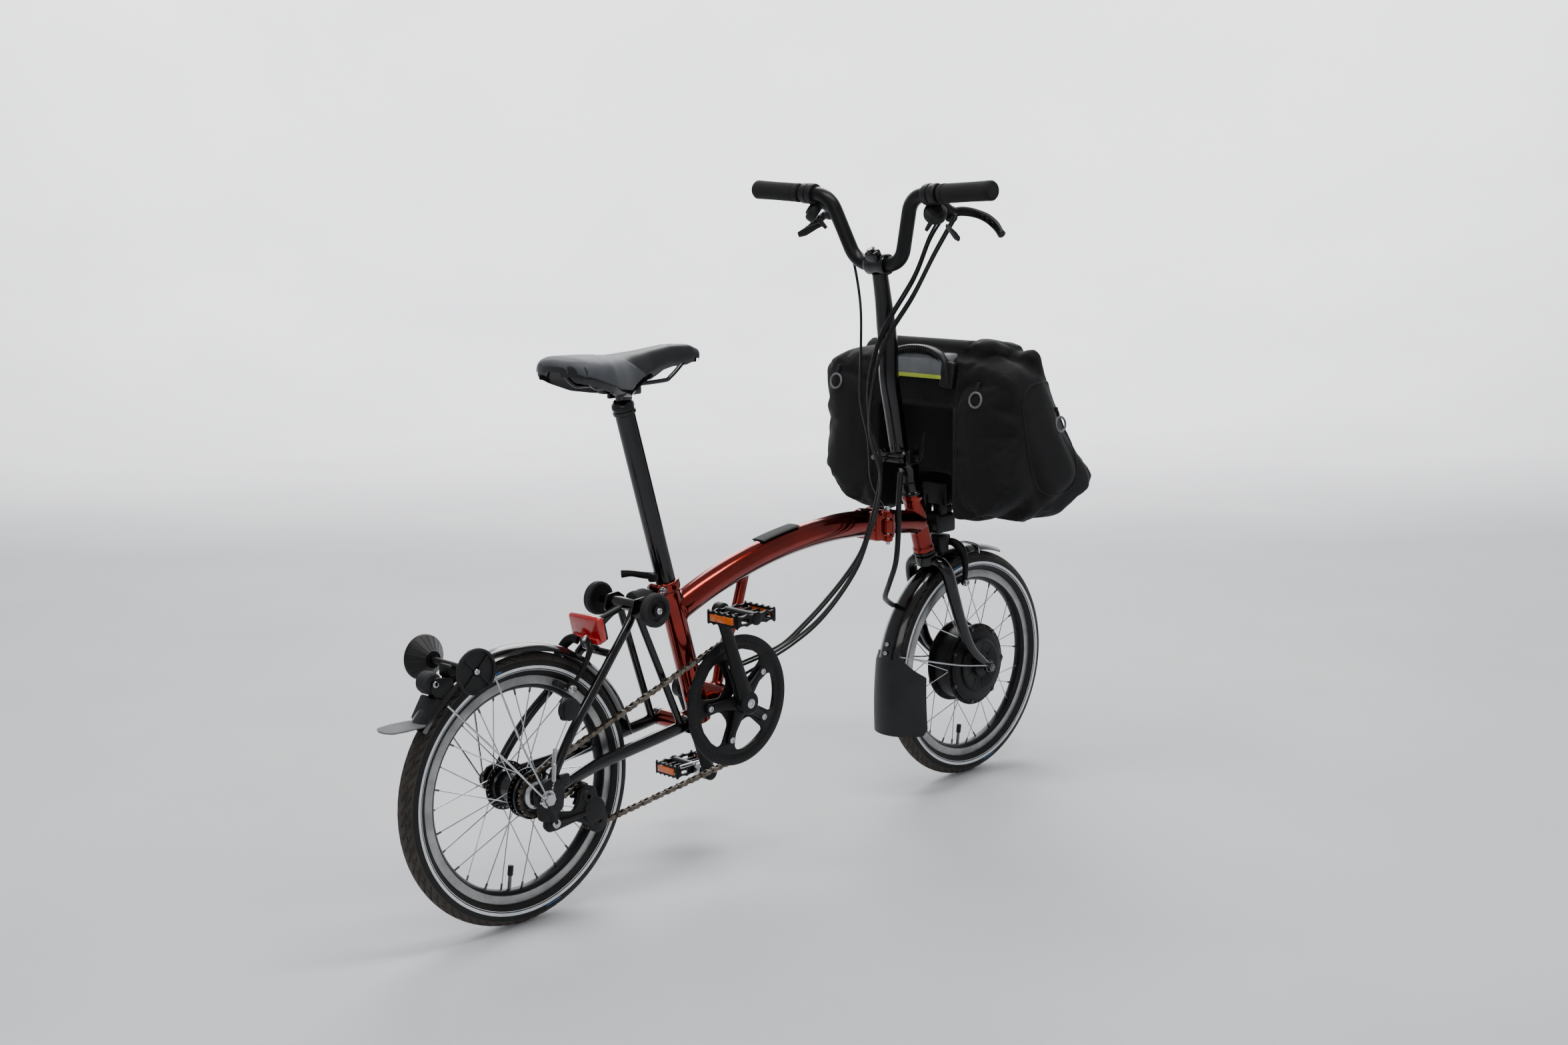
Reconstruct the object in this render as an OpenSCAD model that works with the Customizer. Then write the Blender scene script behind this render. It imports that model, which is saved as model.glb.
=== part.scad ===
// Electric folding bicycle with small wheels, a tall handlepost and a front battery bag.
// +X points forward, +Y to the rider's left and +Z up; the tyres stand on z = 0.
// Places are given from the rear axle's foot on the ground and moved by along().

/* [Wheels] */
// Distance between the two axles
wheelbase = 1045; // [1035:1:1060]
// Outside radius of both tyres
tyre_r = 210; // [206:1:211]
// Radius of the tyre's round section
tyre_section = 19; // [17:0.5:20]
// Number of spokes in each wheel
spokes = 28; // [20:4:36]

/* [Frame] */
// Diameter of the arched main tube
main_tube_d = 45; // [40:1:47]
// Radius of the main tube's arch
arch_r = 880; // [860:5:900]
// Diameter of the seat tube
seat_tube_d = 37; // [36:0.5:40]
// Diameter of the head tube
head_tube_d = 36; // [34:1:38]

/* [Seat and bars] */
// Diameter of the sliding seatpost
seatpost_d = 31.8; // [31.6:0.1:32]
// Half of the handlebar's width over the grips
bar_half = 272; // [265:1:280]
// Diameter of the bent handlebar tube
bar_d = 25.4; // [24:0.2:26]

/* [Drive] */
// Length of each crank between axle and pedal
crank_len = 170; // [165:1:172]
// Outside radius of the chainring guard
guard_r = 108; // [104:1:109]
// Teeth of the chainring
ring_teeth = 50; // [48:1:50]
// Teeth of the rear sprocket
sprocket_teeth = 15; // [13:1:16]

/* [Bag] */
// Half of the bag's width
bag_half = 218; // [200:1:225]
// Height of the bag
bag_h = 315; // [290:5:320]

/* [Hidden] */
$fn = 48;

tail_reach = 235;                                    // the rear flap's tip behind the rear axle
mid_x = (wheelbase + tyre_r - tail_reach) / 2;       // middle of the whole length
joint_swell = 0.25;                                  // how far a bend's round joint stands proud
run = 0.05;                                          // radial clearance of running fits
gap = 0.5;                                           // plain clearance between moving pieces
rim_r = 175;                                         // outside radius of the rims
rear_axle = [0, 0, tyre_r];
front_axle = [wheelbase, 0, tyre_r];
crank_centre = [409, 0, 275];
fold_pivot = [318, 0, 250];                          // rear frame's hinge, along Y
hinge_pin = [797, -33, 506];                         // main hinge, along Z
stem_pin = [868, 34, 622];                           // handlepost hinge, along X
spider_a = 108.6;                                    // first arm of the right crank's five-armed spider
crank_lean = 18.6;                                   // right crank leans back from straight up
pedal_r = crank_centre + crank_len * [-sin(crank_lean), 0, cos(crank_lean)];
pedal_l = crank_centre - crank_len * [-sin(crank_lean), 0, cos(crank_lean)];
seat_low = [375.8, 0, 240];                          // seat tube's lower end
seat_high = [309.4, 0, 481];                         // seat tube's upper end
seat_axis = (seat_high - seat_low) / norm(seat_high - seat_low);
head_low = [930.5, 0, 440];
head_lean = 17;                                      // steering axis leans back
steer_axis = [-sin(head_lean), 0, cos(head_lean)];
head_len = 113;
stem_low = [864, 0, 628];
stem_high = [815, 0, 942];
bar_centre = [814, 0, 957];
bar_lean = 11;                                       // the bar's bend leans back
grip_inner = 162;                                    // grips start this far from the middle
lever_pivot = [842, 150, 1046];                      // left brake lever's pivot
jockey_a = [84, -47, 192];
jockey_b = [104, -47, 150];
tensioner_pivot = [15, -62, 168];
clamp_bolt = [289, 0, 471];                          // seat clamp's bolt, along Y
top_axle = [226, 0, 457];                            // rollers at the rear frame's top
cone_axle = [-112, 0, 424];                          // rollers at the rear mudguard's tail
tail_roller = [-150, 0, 404];
rear_brake = [130, 0, 414];                          // pivots of the two brakes
front_brake = [986, 0, 447];
chain_y = -47;
arch_top = 513;
arch_back = -24.8;                                   // where the arch meets the seat tube
arch_front = 4.9;                                    // where the arch meets the hinge
chain_ring_r = 12.7 / 2 / sin(180 / ring_teeth);
chain_sprocket_r = 12.7 / 2 / sin(180 / sprocket_teeth);
jockey_r = 15;
orange = [0.62, 0.12, 0.03];
black = [0.06, 0.06, 0.065];
grey = [0.22, 0.22, 0.23];
steel = [0.7, 0.7, 0.72];

// cords held along their whole route, from the clamps on the bar to the brakes and the hub
rear_cord = [[838, -128, 1040], [838, -96, 1000], [846, -52, 930], [812, -12, 840], [792, 2, 760],
    [778, -10, 690], [784, -30, 620], [766, -40, 565], [741, -44, 515], [718, -44, 470], [680, -42, 432],
    [632, -40, 396], [585, -38, 366], [535, -34, 338], [480, -30, 327], [430, -24, 318]];
gear_cord = [[838, -150, 1034], [834, -108, 972], [834, -60, 900], [806, -20, 820], [784, -10, 740],
    [766, -20, 670], [770, -40, 600], [752, -52, 550], [728, -52, 498], [700, -52, 450], [655, -50, 404],
    [605, -46, 366], [550, -42, 340], [495, -38, 322], [445, -31, 306]];
front_cord = [[838, 128, 1040], [836, 88, 980], [828, 58, 890], [814, 44, 800], [806, 38, 720],
    [812, 26, 650], [842, 46, 570], [880, 46, 520], [935, 40, 470], [972, 28, 447]];
motor_cord = [[830, -34, 596], [818, -40, 545], [814, -42, 490], [812, -38, 440], [822, -14, 398],
    [850, 22, 364], [885, 48, 345], [925, 60, 322], [965, 68, 285], [1005, 72, 245], [1036, 72, 219]];

// ---- helpers ----

module along() translate([-mid_x, 0, 0]) children();

module rod(a, b, r, r2 = -1) {
    v = b - a;
    translate(a) rotate([0, acos(v.z / norm(v)), atan2(v.y, v.x)])
        cylinder(h = norm(v), r1 = r, r2 = r2 < 0 ? r : r2);
}

module bent(points, r) {
    for (i = [0 : len(points) - 2]) rod(points[i], points[i + 1], r);
    for (i = [1 : len(points) - 2]) translate(points[i]) sphere(r = r + joint_swell);
}

module on_y(p, r, y0, y1) translate([p.x, y0, p.z]) rotate([-90, 0, 0]) cylinder(h = y1 - y0, r = r);

module tube_y(p, r, bore, y0, y1) difference() {
    on_y(p, r, y0, y1);
    on_y(p, bore, y0 - 1, y1 + 1);
}

module mirrored_y() {
    children();
    mirror([0, 1, 0]) children();
}

// a turned profile about the Y axis through p, from angle a0 for a degrees, 0 = forward, 90 = up
module arc_y(p, a0, a) translate(p) rotate([90, 0, 0]) rotate([0, 0, a0]) rotate_extrude(angle = a) children();

function steer_at(t) = head_low + t * steer_axis;
function arch_at(angle) = [700 + arch_r * sin(angle), 0, arch_top - arch_r * (1 - cos(angle))];

// a round cord: rings of eight points square to the way the route runs
function way(p, i) = let(d = p[min(i + 1, len(p) - 1)] - p[max(i - 1, 0)]) d / norm(d);
function ring(p, i, r) = let(w = way(p, i), u = cross(w, [0, 1, 0.2]), n = u / norm(u), m = cross(w, n))
    [for (k = [0 : 7]) p[i] + r * (cos(45 * k) * n + sin(45 * k) * m)];
module cord(p, r) {
    rows = len(p);
    points = [for (i = [0 : rows - 1]) each ring(p, i, r)];
    sides = [for (i = [0 : rows - 2], k = [0 : 7])
        [8 * i + k, 8 * i + (k + 1) % 8, 8 * (i + 1) + (k + 1) % 8, 8 * (i + 1) + k]];
    polyhedron(points, concat([[for (k = [7 : -1 : 0]) k]], sides, [[for (k = [0 : 7]) 8 * (rows - 1) + k]]));
}

// ---- main frame ----

module hinge_knuckles(r, cut) for (z = [478, 520]) translate([hinge_pin.x, hinge_pin.y, z - cut])
    cylinder(h = 14 + 2 * cut, r = r);

module middle_knuckle(r, cut) translate([hinge_pin.x, hinge_pin.y, 492.5 - cut])
    cylinder(h = 27 + 2 * cut, r = r);

module main_frame() color(orange) along() difference() {
    union() {
        rod(seat_low, seat_high, seat_tube_d / 2);
        arc_y([700, 0, arch_top - arch_r], 90 - arch_front, arch_front - arch_back)
            translate([arch_r, 0]) circle(d = main_tube_d);
        rod(arch_at(-14), crank_centre + [4, 0, 8], 9);
        on_y(crank_centre, 20, -34, 34);
        on_y(fold_pivot, 14, -28, 28);
        translate([283, -13, 464]) cube([20, 26, 14]);
        translate([324, -11, 240]) cube([70, 22, 20]);
        translate([375, -11, 250]) cube([30, 22, 24]);
        difference() {
            translate([771, -33, 479]) cube([25.5, 64, 54]);
            middle_knuckle(8.6, 0.5);
        }
        hinge_knuckles(8, 0);
    }
    rod(seat_low - 12 * seat_axis, seat_high + 5 * seat_axis, seatpost_d / 2 + run);
    on_y(crank_centre, 17, -40, 40);
    on_y(fold_pivot, 6 + run, -40, 40);
    on_y(clamp_bolt, 3, -30, 30);
    translate([hinge_pin.x, hinge_pin.y, 470]) cylinder(h = 80, r = 4);
}

module frame_hardware() color(steel) along() {
    translate([hinge_pin.x, hinge_pin.y, 475]) cylinder(h = 62, r = 4);
    mirrored_y() tube_y(crank_centre, 17, 8.5 + run, 24, 35);
    on_y(clamp_bolt, 3, -18, 18);
    mirrored_y() on_y(clamp_bolt, 5.5, 13.2, 18);
}

module front_frame() color(orange) along() difference() {
    union() {
        rod([812, 0, 506], [918, 0, 492], 21);
        rod(steer_at(0), steer_at(head_len), head_tube_d / 2);
        difference() {
            translate([797.5, -33, 479]) cube([24.5, 64, 54]);
            hinge_knuckles(8.6, 0.5);
        }
        middle_knuckle(8, 0);
    }
    rod(steer_at(-5), steer_at(head_len + 5), 15.5);
    translate([hinge_pin.x, hinge_pin.y, 470]) cylinder(h = 80, r = 4 + run);
}

module headset() color(black) along() for (t = [-7, head_len]) difference() {
    rod(steer_at(t), steer_at(t + 7), 20);
    rod(steer_at(t - 1), steer_at(t + 8), 12.7 + run);
}

module carrier_block() color(black) along() difference() {
    union() {
        translate([932, -24, 474]) cube([62, 48, 44]);
        translate([956, -30, 518]) cube([14, 60, 42]);
    }
    rod(steer_at(20), steer_at(head_len), head_tube_d / 2 + gap);
}

// lever, screw and pressure plate on the left of the main hinge
module hinge_clamp() color(black) along() {
    translate([783, 31.6, 490]) cube([28, 6, 32]);
    on_y([797, 0, 506], 7, 37.6, 58);
    rod([797, 54, 506], [742, 62, 500], 6);
}

// ---- rear frame ----

module rear_frame() color(black) along() difference() {
    union() {
        mirrored_y() {
            on_y(fold_pivot, 14, 28.5, 42);
            translate([290, 28.5, 240]) cube([20, 13.5, 20]);
            bent([[300, 35, 248], [150, 36, 230], [30, 62.5, 215], [8, 64, 212]], 8);
            bent([[14, 64, 222], [48, 60, 272], [204, 30, 431], [232, 14, 452]], 7);
            rod([303, 35.3, 250], [226.5, 19, 456], 6);
            on_y(rear_axle, 15, 60, 68);
            on_y(top_axle, 5, 0, 76);
        }
        on_y(top_axle, 9, -32, 32);
        on_y([166, 0, 392], 6, -34, 34);
        rod([164, 0, 394], rear_brake + [10, 0, -5], 5);
    }
    on_y(rear_axle, 5, -80, 80);
    on_y(fold_pivot, 6, -50, 50);
}

module suspension_block() color(black) along() {
    rod([236, 0, 458], [277, 0, 462], 15, 11);
}

module rear_hardware() color(steel) along() {
    on_y(rear_axle, 5, -80, 80);
    on_y(rear_axle, 4.75, -86, 86);                  // bare ends outside the nuts
    mirrored_y() on_y(rear_axle, 9, 68, 77);
    on_y(fold_pivot, 6, -43, 43);
    on_y(tensioner_pivot, 4, -76, -58);
    rod([0, -72, 206], [15, -72, 168], 4);
    color(black) on_y([52, 0, 335], 17, -72, -62);
    rod([5, -74, 216], [50, -69, 322], 2);
}

module mudguard_shape(inner, half) {
    translate([inner, -half]) square([2.5, 2 * half]);
    for (y = [-half, half - 2.5]) translate([inner - 7, y]) square([9.5, 2.5]);
}

module rear_mudguard() color(black) along() {
    arc_y(rear_axle, 12, 132) mudguard_shape(221, 24);
    translate([-tail_reach, -24, 346]) cube([66, 48, 3]);
    mirrored_y() {
        rod([-60, 25, 414], [-11, 78, 222], 1.6);
        rod([-140, 25, 372], [-14, 78, 216], 1.6);
        rod(tail_roller + [0, 17, 0], tail_roller + [15, 17, -18], 4);
    }
    on_y(cone_axle, 5, -67, 67);
    on_y(tail_roller, 3.5, -18, 18);
    translate([-120, -12, 398]) cube([16, 24, 26]);
}

module rear_light() color([0.75, 0.04, 0.04]) along() {
    translate([138, -38, 424]) rotate([0, -14, 0]) cube([16, 76, 32]);
    color(black) rod([158, 0, 434], [172, 0, 438], 6);
}

// ---- wheels ----

module tyre(centre) color(black) along() arc_y(centre, 0, 360) difference() {
    translate([tyre_r - tyre_section, 0]) circle(r = tyre_section);
    translate([rim_r - 20, -30]) square([20 + gap, 60]);
}

module rim(centre, hub_r, hub_y) color(grey) along() {
    arc_y(centre, 0, 360) difference() {
        translate([160, -12]) square([rim_r - 160, 24]);
        translate([163, -8]) square([rim_r - 160, 16]);
    }
    for (i = [0 : spokes - 1]) {
        side = i % 2 == 0 ? 1 : -1;
        lean = (floor(i / 2) % 2 == 0 ? 1 : -1) * 8;
        a = 360 * i / spokes;
        rod(centre + [(hub_r + 0.6) * cos(a + lean), side * hub_y, (hub_r + 0.6) * sin(a + lean)],
            centre + [161 * cos(a), side * 3, 161 * sin(a)], 1);
    }
}

module rear_tyre() tyre(rear_axle);
module front_tyre() tyre(front_axle);
module rear_rim() rim(rear_axle, 36, 26);
module front_rim() rim(front_axle, 74, 24);

module rear_hub() color(black) along() difference() {
    union() {
        on_y(rear_axle, 29, -34, 34);
        mirrored_y() on_y(rear_axle, 36, 24, 28);
        on_y(rear_axle, 16, 34, 52);
    }
    on_y(rear_axle, 5 + run, -60, 60);
}

module rear_sprocket() color(steel) along() difference() {
    union() {
        on_y(rear_axle, chain_sprocket_r - 4.5, chain_y - 1.5, chain_y + 1.5);
        on_y(rear_axle, 18, chain_y - 6, -34.5);
    }
    on_y(rear_axle, 5 + run, -60, -30);
}

module motor_hub() color(black) along() difference() {
    union() {
        on_y(front_axle, 68, -34, 34);
        mirrored_y() {
            on_y(front_axle, 74, 22, 26);
            on_y(front_axle, 50, 34, 39);
            on_y(front_axle, 20, 39, 43);
        }
    }
    on_y(front_axle, 5 + run, -60, 60);
}

// ---- chain drive ----

module tensioner_arm() color(black) along() difference() {
    union() {
        on_y(tensioner_pivot, 14, -66, -58.5);
        translate([15, -66, 161]) cube([79, 7.5, 14]);
        on_y([94, 0, 171], 24, -66, -58.5);
        on_y(jockey_a, 4, -60, -40);
        on_y(jockey_b, 4, -60, -40);
    }
    on_y(tensioner_pivot, 4 + run, -80, -50);
}

module jockey(p) color(black) along() tube_y(p, jockey_r - 3, 4 + run, chain_y - 4, chain_y + 4);
module jockey_upper() jockey(jockey_a);
module jockey_lower() jockey(jockey_b);

module crank_axle() color(steel) along() on_y(crank_centre, 8.5, -70, 70);

module right_crank() color(black) along() difference() {
    union() {
        rod(crank_centre + [0, -77, 0], pedal_r + [0, -77, 0], 10.5, 9.5);
        on_y(crank_centre, 18, -87, -66);
        on_y(pedal_r, 13, -87, -68);
        on_y(pedal_r, 6, -158, -84);
        for (a = [0 : 72 : 288]) rod(crank_centre + [0, -67, 0],
            crank_centre + [65 * cos(a + spider_a), -61, 65 * sin(a + spider_a)], 8, 5);
        for (a = [0 : 72 : 288]) on_y(crank_centre + 65 * [cos(a + spider_a), 0, sin(a + spider_a)], 6, -62, -55.5);
    }
    on_y(crank_centre, 8.5, -70, -50);
}

module left_crank() color(black) along() difference() {
    union() {
        rod(crank_centre + [0, 77, 0], pedal_l + [0, 77, 0], 10.5, 9.5);
        on_y(crank_centre, 18, 66, 87);
        on_y(pedal_l, 13, 68, 87);
        on_y(pedal_l, 6, 84, 103.5);
    }
    on_y(crank_centre, 8.5, 50, 70);
}

module chainring() color(black) along() difference() {
    union() {
        on_y(crank_centre, chain_ring_r - 4.5, chain_y - 1.5, chain_y + 1.5);
        on_y(crank_centre, guard_r, -55.5, -52.5);
        for (a = [0 : 72 : 288]) on_y(crank_centre + 78 * [cos(a + spider_a), 0, sin(a + spider_a)], 6, -53, -48);
    }
    on_y(crank_centre, 44, -60, -40);
    for (a = [0 : 72 : 288]) on_y(crank_centre + 66 * [cos(a + spider_a + 36), 0, sin(a + spider_a + 36)], 24, -60, -40);
}

// the chain's line seen from the side, as arcs about each toothed wheel
function arc(p, r, a0, a1, n) = [for (i = [0 : n]) let(a = a0 + (a1 - a0) * i / n) [p.x + r * cos(a), p.z + r * sin(a)]];
chain_line = concat(arc(rear_axle, chain_sprocket_r, 108.8, 290.7, 12), arc(jockey_a, jockey_r + 1, 110.7, -18, 8),
    arc(jockey_b, jockey_r + 1, 162, 277.3, 8), arc(crank_centre, chain_ring_r, -82.7, 108.8, 20));

module chain() color([0.45, 0.42, 0.38]) along() translate([0, chain_y + 3.5, 0]) rotate([90, 0, 0])
    linear_extrude(7) difference() {
        offset(delta = 3.5) polygon(chain_line);
        offset(delta = -3.5) polygon(chain_line);
    }

module pedal_cage(p, y0) difference() {
    union() {
        tube_y(p, 11, 6 + run, y0, y0 + 72);
        for (x = [-40, 32]) translate([p.x + x, y0 + 4, p.z - 12]) cube([8, 66, 24]);
        for (y = [y0 + 4, y0 + 66]) translate([p.x - 40, y, p.z - 8]) cube([80, 5, 16]);
    }
    on_y(p, 6 + run, y0 - 1, y0 + 80);
}

module right_pedal() color(black) along() mirror([0, 1, 0]) pedal_cage(pedal_r, 88);

// joint block on the left pedal's axle; the platform folds on it
module left_pedal_hinge() color(steel) along() tube_y(pedal_l, 12, 6 + run, 88, 104);

module left_pedal() color(black) along() {
    p = pedal_l;
    translate([p.x - 42, 104.5, p.z - 10]) cube([84, 7, 20]);
    for (x = [-42, 34]) translate([p.x + x, 111, p.z - 12]) cube([8, 56, 24]);
    translate([p.x - 42, 160, p.z - 8]) cube([84, 7, 16]);
    on_y(p, 9, 111, 162);
}

// ---- rollers that the parked or folded bicycle stands on ----

module roller(p, r, y0, y1, bore) color(black) along() tube_y(p, r, bore, y0, y1);
module top_roller_left() roller(top_axle, 27, 60, 76, 5 + run);
module top_roller_right() roller(top_axle, 27, -76, -60, 5 + run);

module cone_roller(side) color(black) along() difference() {
    translate(cone_axle) rotate([-90 * side, 0, 0]) {
        translate([0, 0, 40]) cylinder(h = 22, r1 = 14, r2 = 34);
        translate([0, 0, 62]) cylinder(h = 5, r = 34);
    }
    on_y(cone_axle, 5 + run, -80, 80);
}
module cone_roller_left() cone_roller(1);
module cone_roller_right() cone_roller(-1);
module guard_roller() roller(tail_roller, 16, -12, 12, 3.5 + run);

// ---- brakes: arms that squeeze the rim on each side of a tyre ----

module rear_arm(side) color(black) along() {
    bent([rear_brake + [0, side * 4, 0], [124, side * 31, 405], [84, side * 31, 355]], 5);
    on_y([84, 0, 355], 6.2, side > 0 ? 13.5 : -31, side > 0 ? 31 : -13.5);
}
module rear_caliper_left() rear_arm(1);
module rear_caliper_right() rear_arm(-1);

module front_arm(side) color(black) along() {
    bent([front_brake + [2, side * 5.5, 0], [998, side * 33, 432], [1005, side * 31, 372]], 5);
    on_y([1005, 0, 372], 6.2, side > 0 ? 13.5 : -31, side > 0 ? 31 : -13.5);
}
module front_caliper_left() front_arm(1);
module front_caliper_right() front_arm(-1);

// ---- fork and what it carries ----

module fork() color(black) along() difference() {
    union() {
        rod(steer_at(-30), steer_at(-8), 17);
        rod(steer_at(-9), steer_at(head_len + 26), 12.7);
        mirrored_y() {
            bent([steer_at(-20) + [0, 8, 0], steer_at(-21) + [2, 38, -3], [952, 45, 370], [974, 50, 305],
                [1006, 53, 250], [1040, 54.5, 216]], 10);
            on_y(front_axle, 13, 44, 58);
        }
    }
    on_y(front_axle, 5, -60, 60);
}

module fork_fittings() color(steel) along() {
    on_y(front_axle, 5, -68, 68);
    mirrored_y() on_y(front_axle, 9, 57, 63);
    color(black) translate([957, -20, 428]) cube([24, 40, 36]);
}

module front_mudguard() color(black) along() {
    arc_y(front_axle, 76, 92) mudguard_shape(221, 24);
    mirrored_y() rod([826, 25, 262], [1040, 58, 214], 1.6);
}

module front_flap() color(black) along() intersection() {
    rod([876, 0, 262], [864, 0, 112], 60);
    difference() {
        translate([790, -70, 95]) cube([66, 140, 160]);
        rod([876, 0, 282], [864, 0, 92], 57.5);
    }
}

module stem_base() color(black) along() difference() {
    union() {
        rod(steer_at(head_len + 7.5), steer_at(head_len + 24), 19);
        rod(steer_at(head_len + 20), [886, 0, 612], 15.5);
        translate([846, -22, 608]) cube([44, 50, 9]);
        translate([850, 28, 604]) cube([36, 14, 11]);
        for (x = [850, 878]) translate([x, 28, 604]) cube([8, 12, 16]);
        rod([850, 34, 622], [886, 34, 622], 3);
        rod([850, 34, 622], [858, 34, 622], 6);
        rod([878, 34, 622], [886, 34, 622], 6);
    }
    rod(steer_at(head_len - 2), steer_at(head_len + 26), 12.7);
}

module motor_cable() color(black) along() cord(motor_cord, 5);

// ---- handlepost and bar ----

module stem() color(black) along() difference() {
    union() {
        bent([stem_low + [2, 0, -8], [837, 0, 800], [824, 0, 890]], 17.5);
        rod([826, 0, 870], stem_high, 14);
        translate([846, -22, 617.5]) cube([44, 50, 8]);
        translate([859, 26, 618]) cube([18, 8, 8]);
        rod([859, 34, 622], [877, 34, 622], 6);
        on_y(bar_centre, 19, -22, 22);
    }
    rod([840, 34, 622], [900, 34, 622], 3 + run);
    on_y(bar_centre, bar_d / 2, -30, 30);
}

module stem_clamp() color(black) along() {
    translate([854, -32, 606]) cube([28, 9, 22]);
    rod([868, -30, 617], [868, -46, 617], 5);
    rod([868, -42, 617], [872, -50, 664], 5);
}

// the bar's line in its own plane, u to the side and v upwards, from the middle to the end
bar_turn = 70;
bar_bend = 42;
bar_rise = 70;
bar_end_slope = 3;
bar_p = [22 + bar_bend * sin(bar_turn), bar_bend * (1 - cos(bar_turn))];
bar_q = bar_p + bar_rise * [cos(bar_turn), sin(bar_turn)];
bar_c = bar_q + bar_bend * [sin(bar_turn), -cos(bar_turn)];
function bar_straight(u) = [u, bar_c.y + bar_bend * cos(bar_end_slope)
    + (u - bar_c.x + bar_bend * sin(bar_end_slope)) * tan(bar_end_slope)];
bar_line = concat([[0, 0]],
    [for (a = [0 : bar_turn / 4 : bar_turn]) [22 + bar_bend * sin(a), bar_bend * (1 - cos(a))]],
    [for (a = [bar_turn : (bar_end_slope - bar_turn) / 4 : bar_end_slope]) bar_c + bar_bend * [-sin(a), cos(a)]],
    [bar_straight(bar_half - 4)]);

module in_bar_plane() translate(bar_centre) rotate([0, -bar_lean, 0]) rotate([0, 0, 90]) children();

function bar_3d(side) = [for (p = bar_line) [side * p.x, 0, p.y]];

bar_right = bar_3d(-1);
bar_both = concat([for (i = [len(bar_right) - 1 : -1 : 1]) bar_right[i]], [for (i = [1 : len(bar_right) - 1]) bar_3d(1)[i]]);

module handlebar() color(black) along() in_bar_plane() bent(bar_both, bar_d / 2);

function at_bar(u) = [u, 0, bar_straight(u).y];

module grips() color(black) along() mirrored_y() in_bar_plane() difference() {
    rod(at_bar(grip_inner), at_bar(bar_half), 16.5);
    rod(at_bar(grip_inner - 2), at_bar(bar_half - 4), bar_d / 2);
}

module control_clamps() color(black) along() mirrored_y() in_bar_plane() {
    difference() {
        rod(at_bar(128), at_bar(156), 18);
        rod(at_bar(126), at_bar(158), bar_d / 2);
    }
    translate(at_bar(142) + [0, -24, -30]) rotate([100, 0, 0]) cylinder(h = 8, r = 18);
    translate(at_bar(134) + [0, -32, -26]) cube([14, 20, 22]);
}

module brake_lever() along() {
    bent([[858, 142, 1046], [872, 176, 1040], [872, 214, 1030], [868, 250, 1014]], 5);
}
module brake_lever_left() color(black) brake_lever();
module brake_lever_right() color(black) mirror([0, 1, 0]) brake_lever();

module shift_lever() along() {
    rod([826, 142, 1024], [812, 176, 1010], 3.5);
    translate([812, 176, 1010]) sphere(r = 6);
}
module shift_lever_left() color(black) shift_lever();
module shift_lever_right() color(black) mirror([0, 1, 0]) shift_lever();

module control_cables() color(black) along() {
    cord(rear_cord, 2.5);
    cord(gear_cord, 2.5);
    cord(front_cord, 2.5);
}

// ---- seat ----

post_top = seat_high + 312 * seat_axis;
tilt_pivot = post_top + [-2.5, 0, 10];
module seatpost() color(black) along() difference() {
    union() {
        rod(seat_high - 90 * seat_axis, post_top - 8 * seat_axis, seatpost_d / 2);
        rod(post_top - 20 * seat_axis, tilt_pivot, 8);
        on_y(tilt_pivot, 9, -13, 13);
    }
    on_y(tilt_pivot, 3 + run, -20, 20);
}

module seat_lever() color(black) along() {
    translate([276, -7, 487]) cylinder(h = 11, r = 6);
    rod([276, -7, 493], [248, 32, 496], 4.5);
}

module saddle_cover() color(grey) along() hull() {
    translate([378, 0, 838]) sphere(r = 12, $fn = 24);
    translate([300, 0, 838]) sphere(r = 16, $fn = 24);
    for (y = [-50, 50]) translate([128, y, 838]) sphere(r = 16, $fn = 24);
    for (y = [-62, 62]) translate([150, y, 830]) sphere(r = 8, $fn = 24);
    translate([108, 0, 844]) sphere(r = 12, $fn = 24);
}

module saddle_base() color(black) along() {
    mirrored_y() bent([[140, 26, 820], [170, 22, 803], [290, 22, 803], [350, 12, 824]], 3.5);
    mirrored_y() {
        on_y(tilt_pivot, 9, 13.5, 20);
        translate(tilt_pivot + [-9, 13.5, 0]) cube([18, 6.5, 14]);
    }
    on_y(tilt_pivot, 3, -20, 20);
    translate(tilt_pivot + [-20, -27, 10]) cube([40, 54, 6]);
}

// ---- front bag and its battery ----

module bag() color([0.05, 0.05, 0.055]) along() difference() {
    translate([0, bag_half, 0]) rotate([90, 0, 0]) linear_extrude(2 * bag_half)
        offset(r = 18) offset(delta = -18)
            polygon([[912, 500], [1060, 500], [1150, 545], [1136, 582], [990, 800], [950, 492 + bag_h],
                [905, 800], [898, 640]]);
    translate([860, -82, 480]) cube([92, 164, 215]);
    translate([920, -34, 480]) cube([82, 68, 90]);
}

module battery() color(grey) along() {
    translate([896, -70, 812]) cube([60, 140, 12]);
}

main_frame();
frame_hardware();
front_frame();
headset();
carrier_block();
hinge_clamp();
rear_frame();
suspension_block();
rear_hardware();
rear_mudguard();
rear_light();
rear_tyre();
rear_rim();
rear_hub();
rear_sprocket();
tensioner_arm();
jockey_upper();
jockey_lower();
rear_caliper_left();
rear_caliper_right();
top_roller_left();
top_roller_right();
cone_roller_left();
cone_roller_right();
guard_roller();
crank_axle();
right_crank();
left_crank();
chainring();
chain();
right_pedal();
left_pedal_hinge();
left_pedal();
fork();
fork_fittings();
front_mudguard();
front_flap();
stem_base();
motor_cable();
front_tyre();
front_rim();
motor_hub();
front_caliper_left();
front_caliper_right();
stem();
stem_clamp();
handlebar();
grips();
control_clamps();
brake_lever_left();
brake_lever_right();
shift_lever_left();
shift_lever_right();
control_cables();
seatpost();
seat_lever();
saddle_cover();
saddle_base();
bag();
battery();
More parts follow.
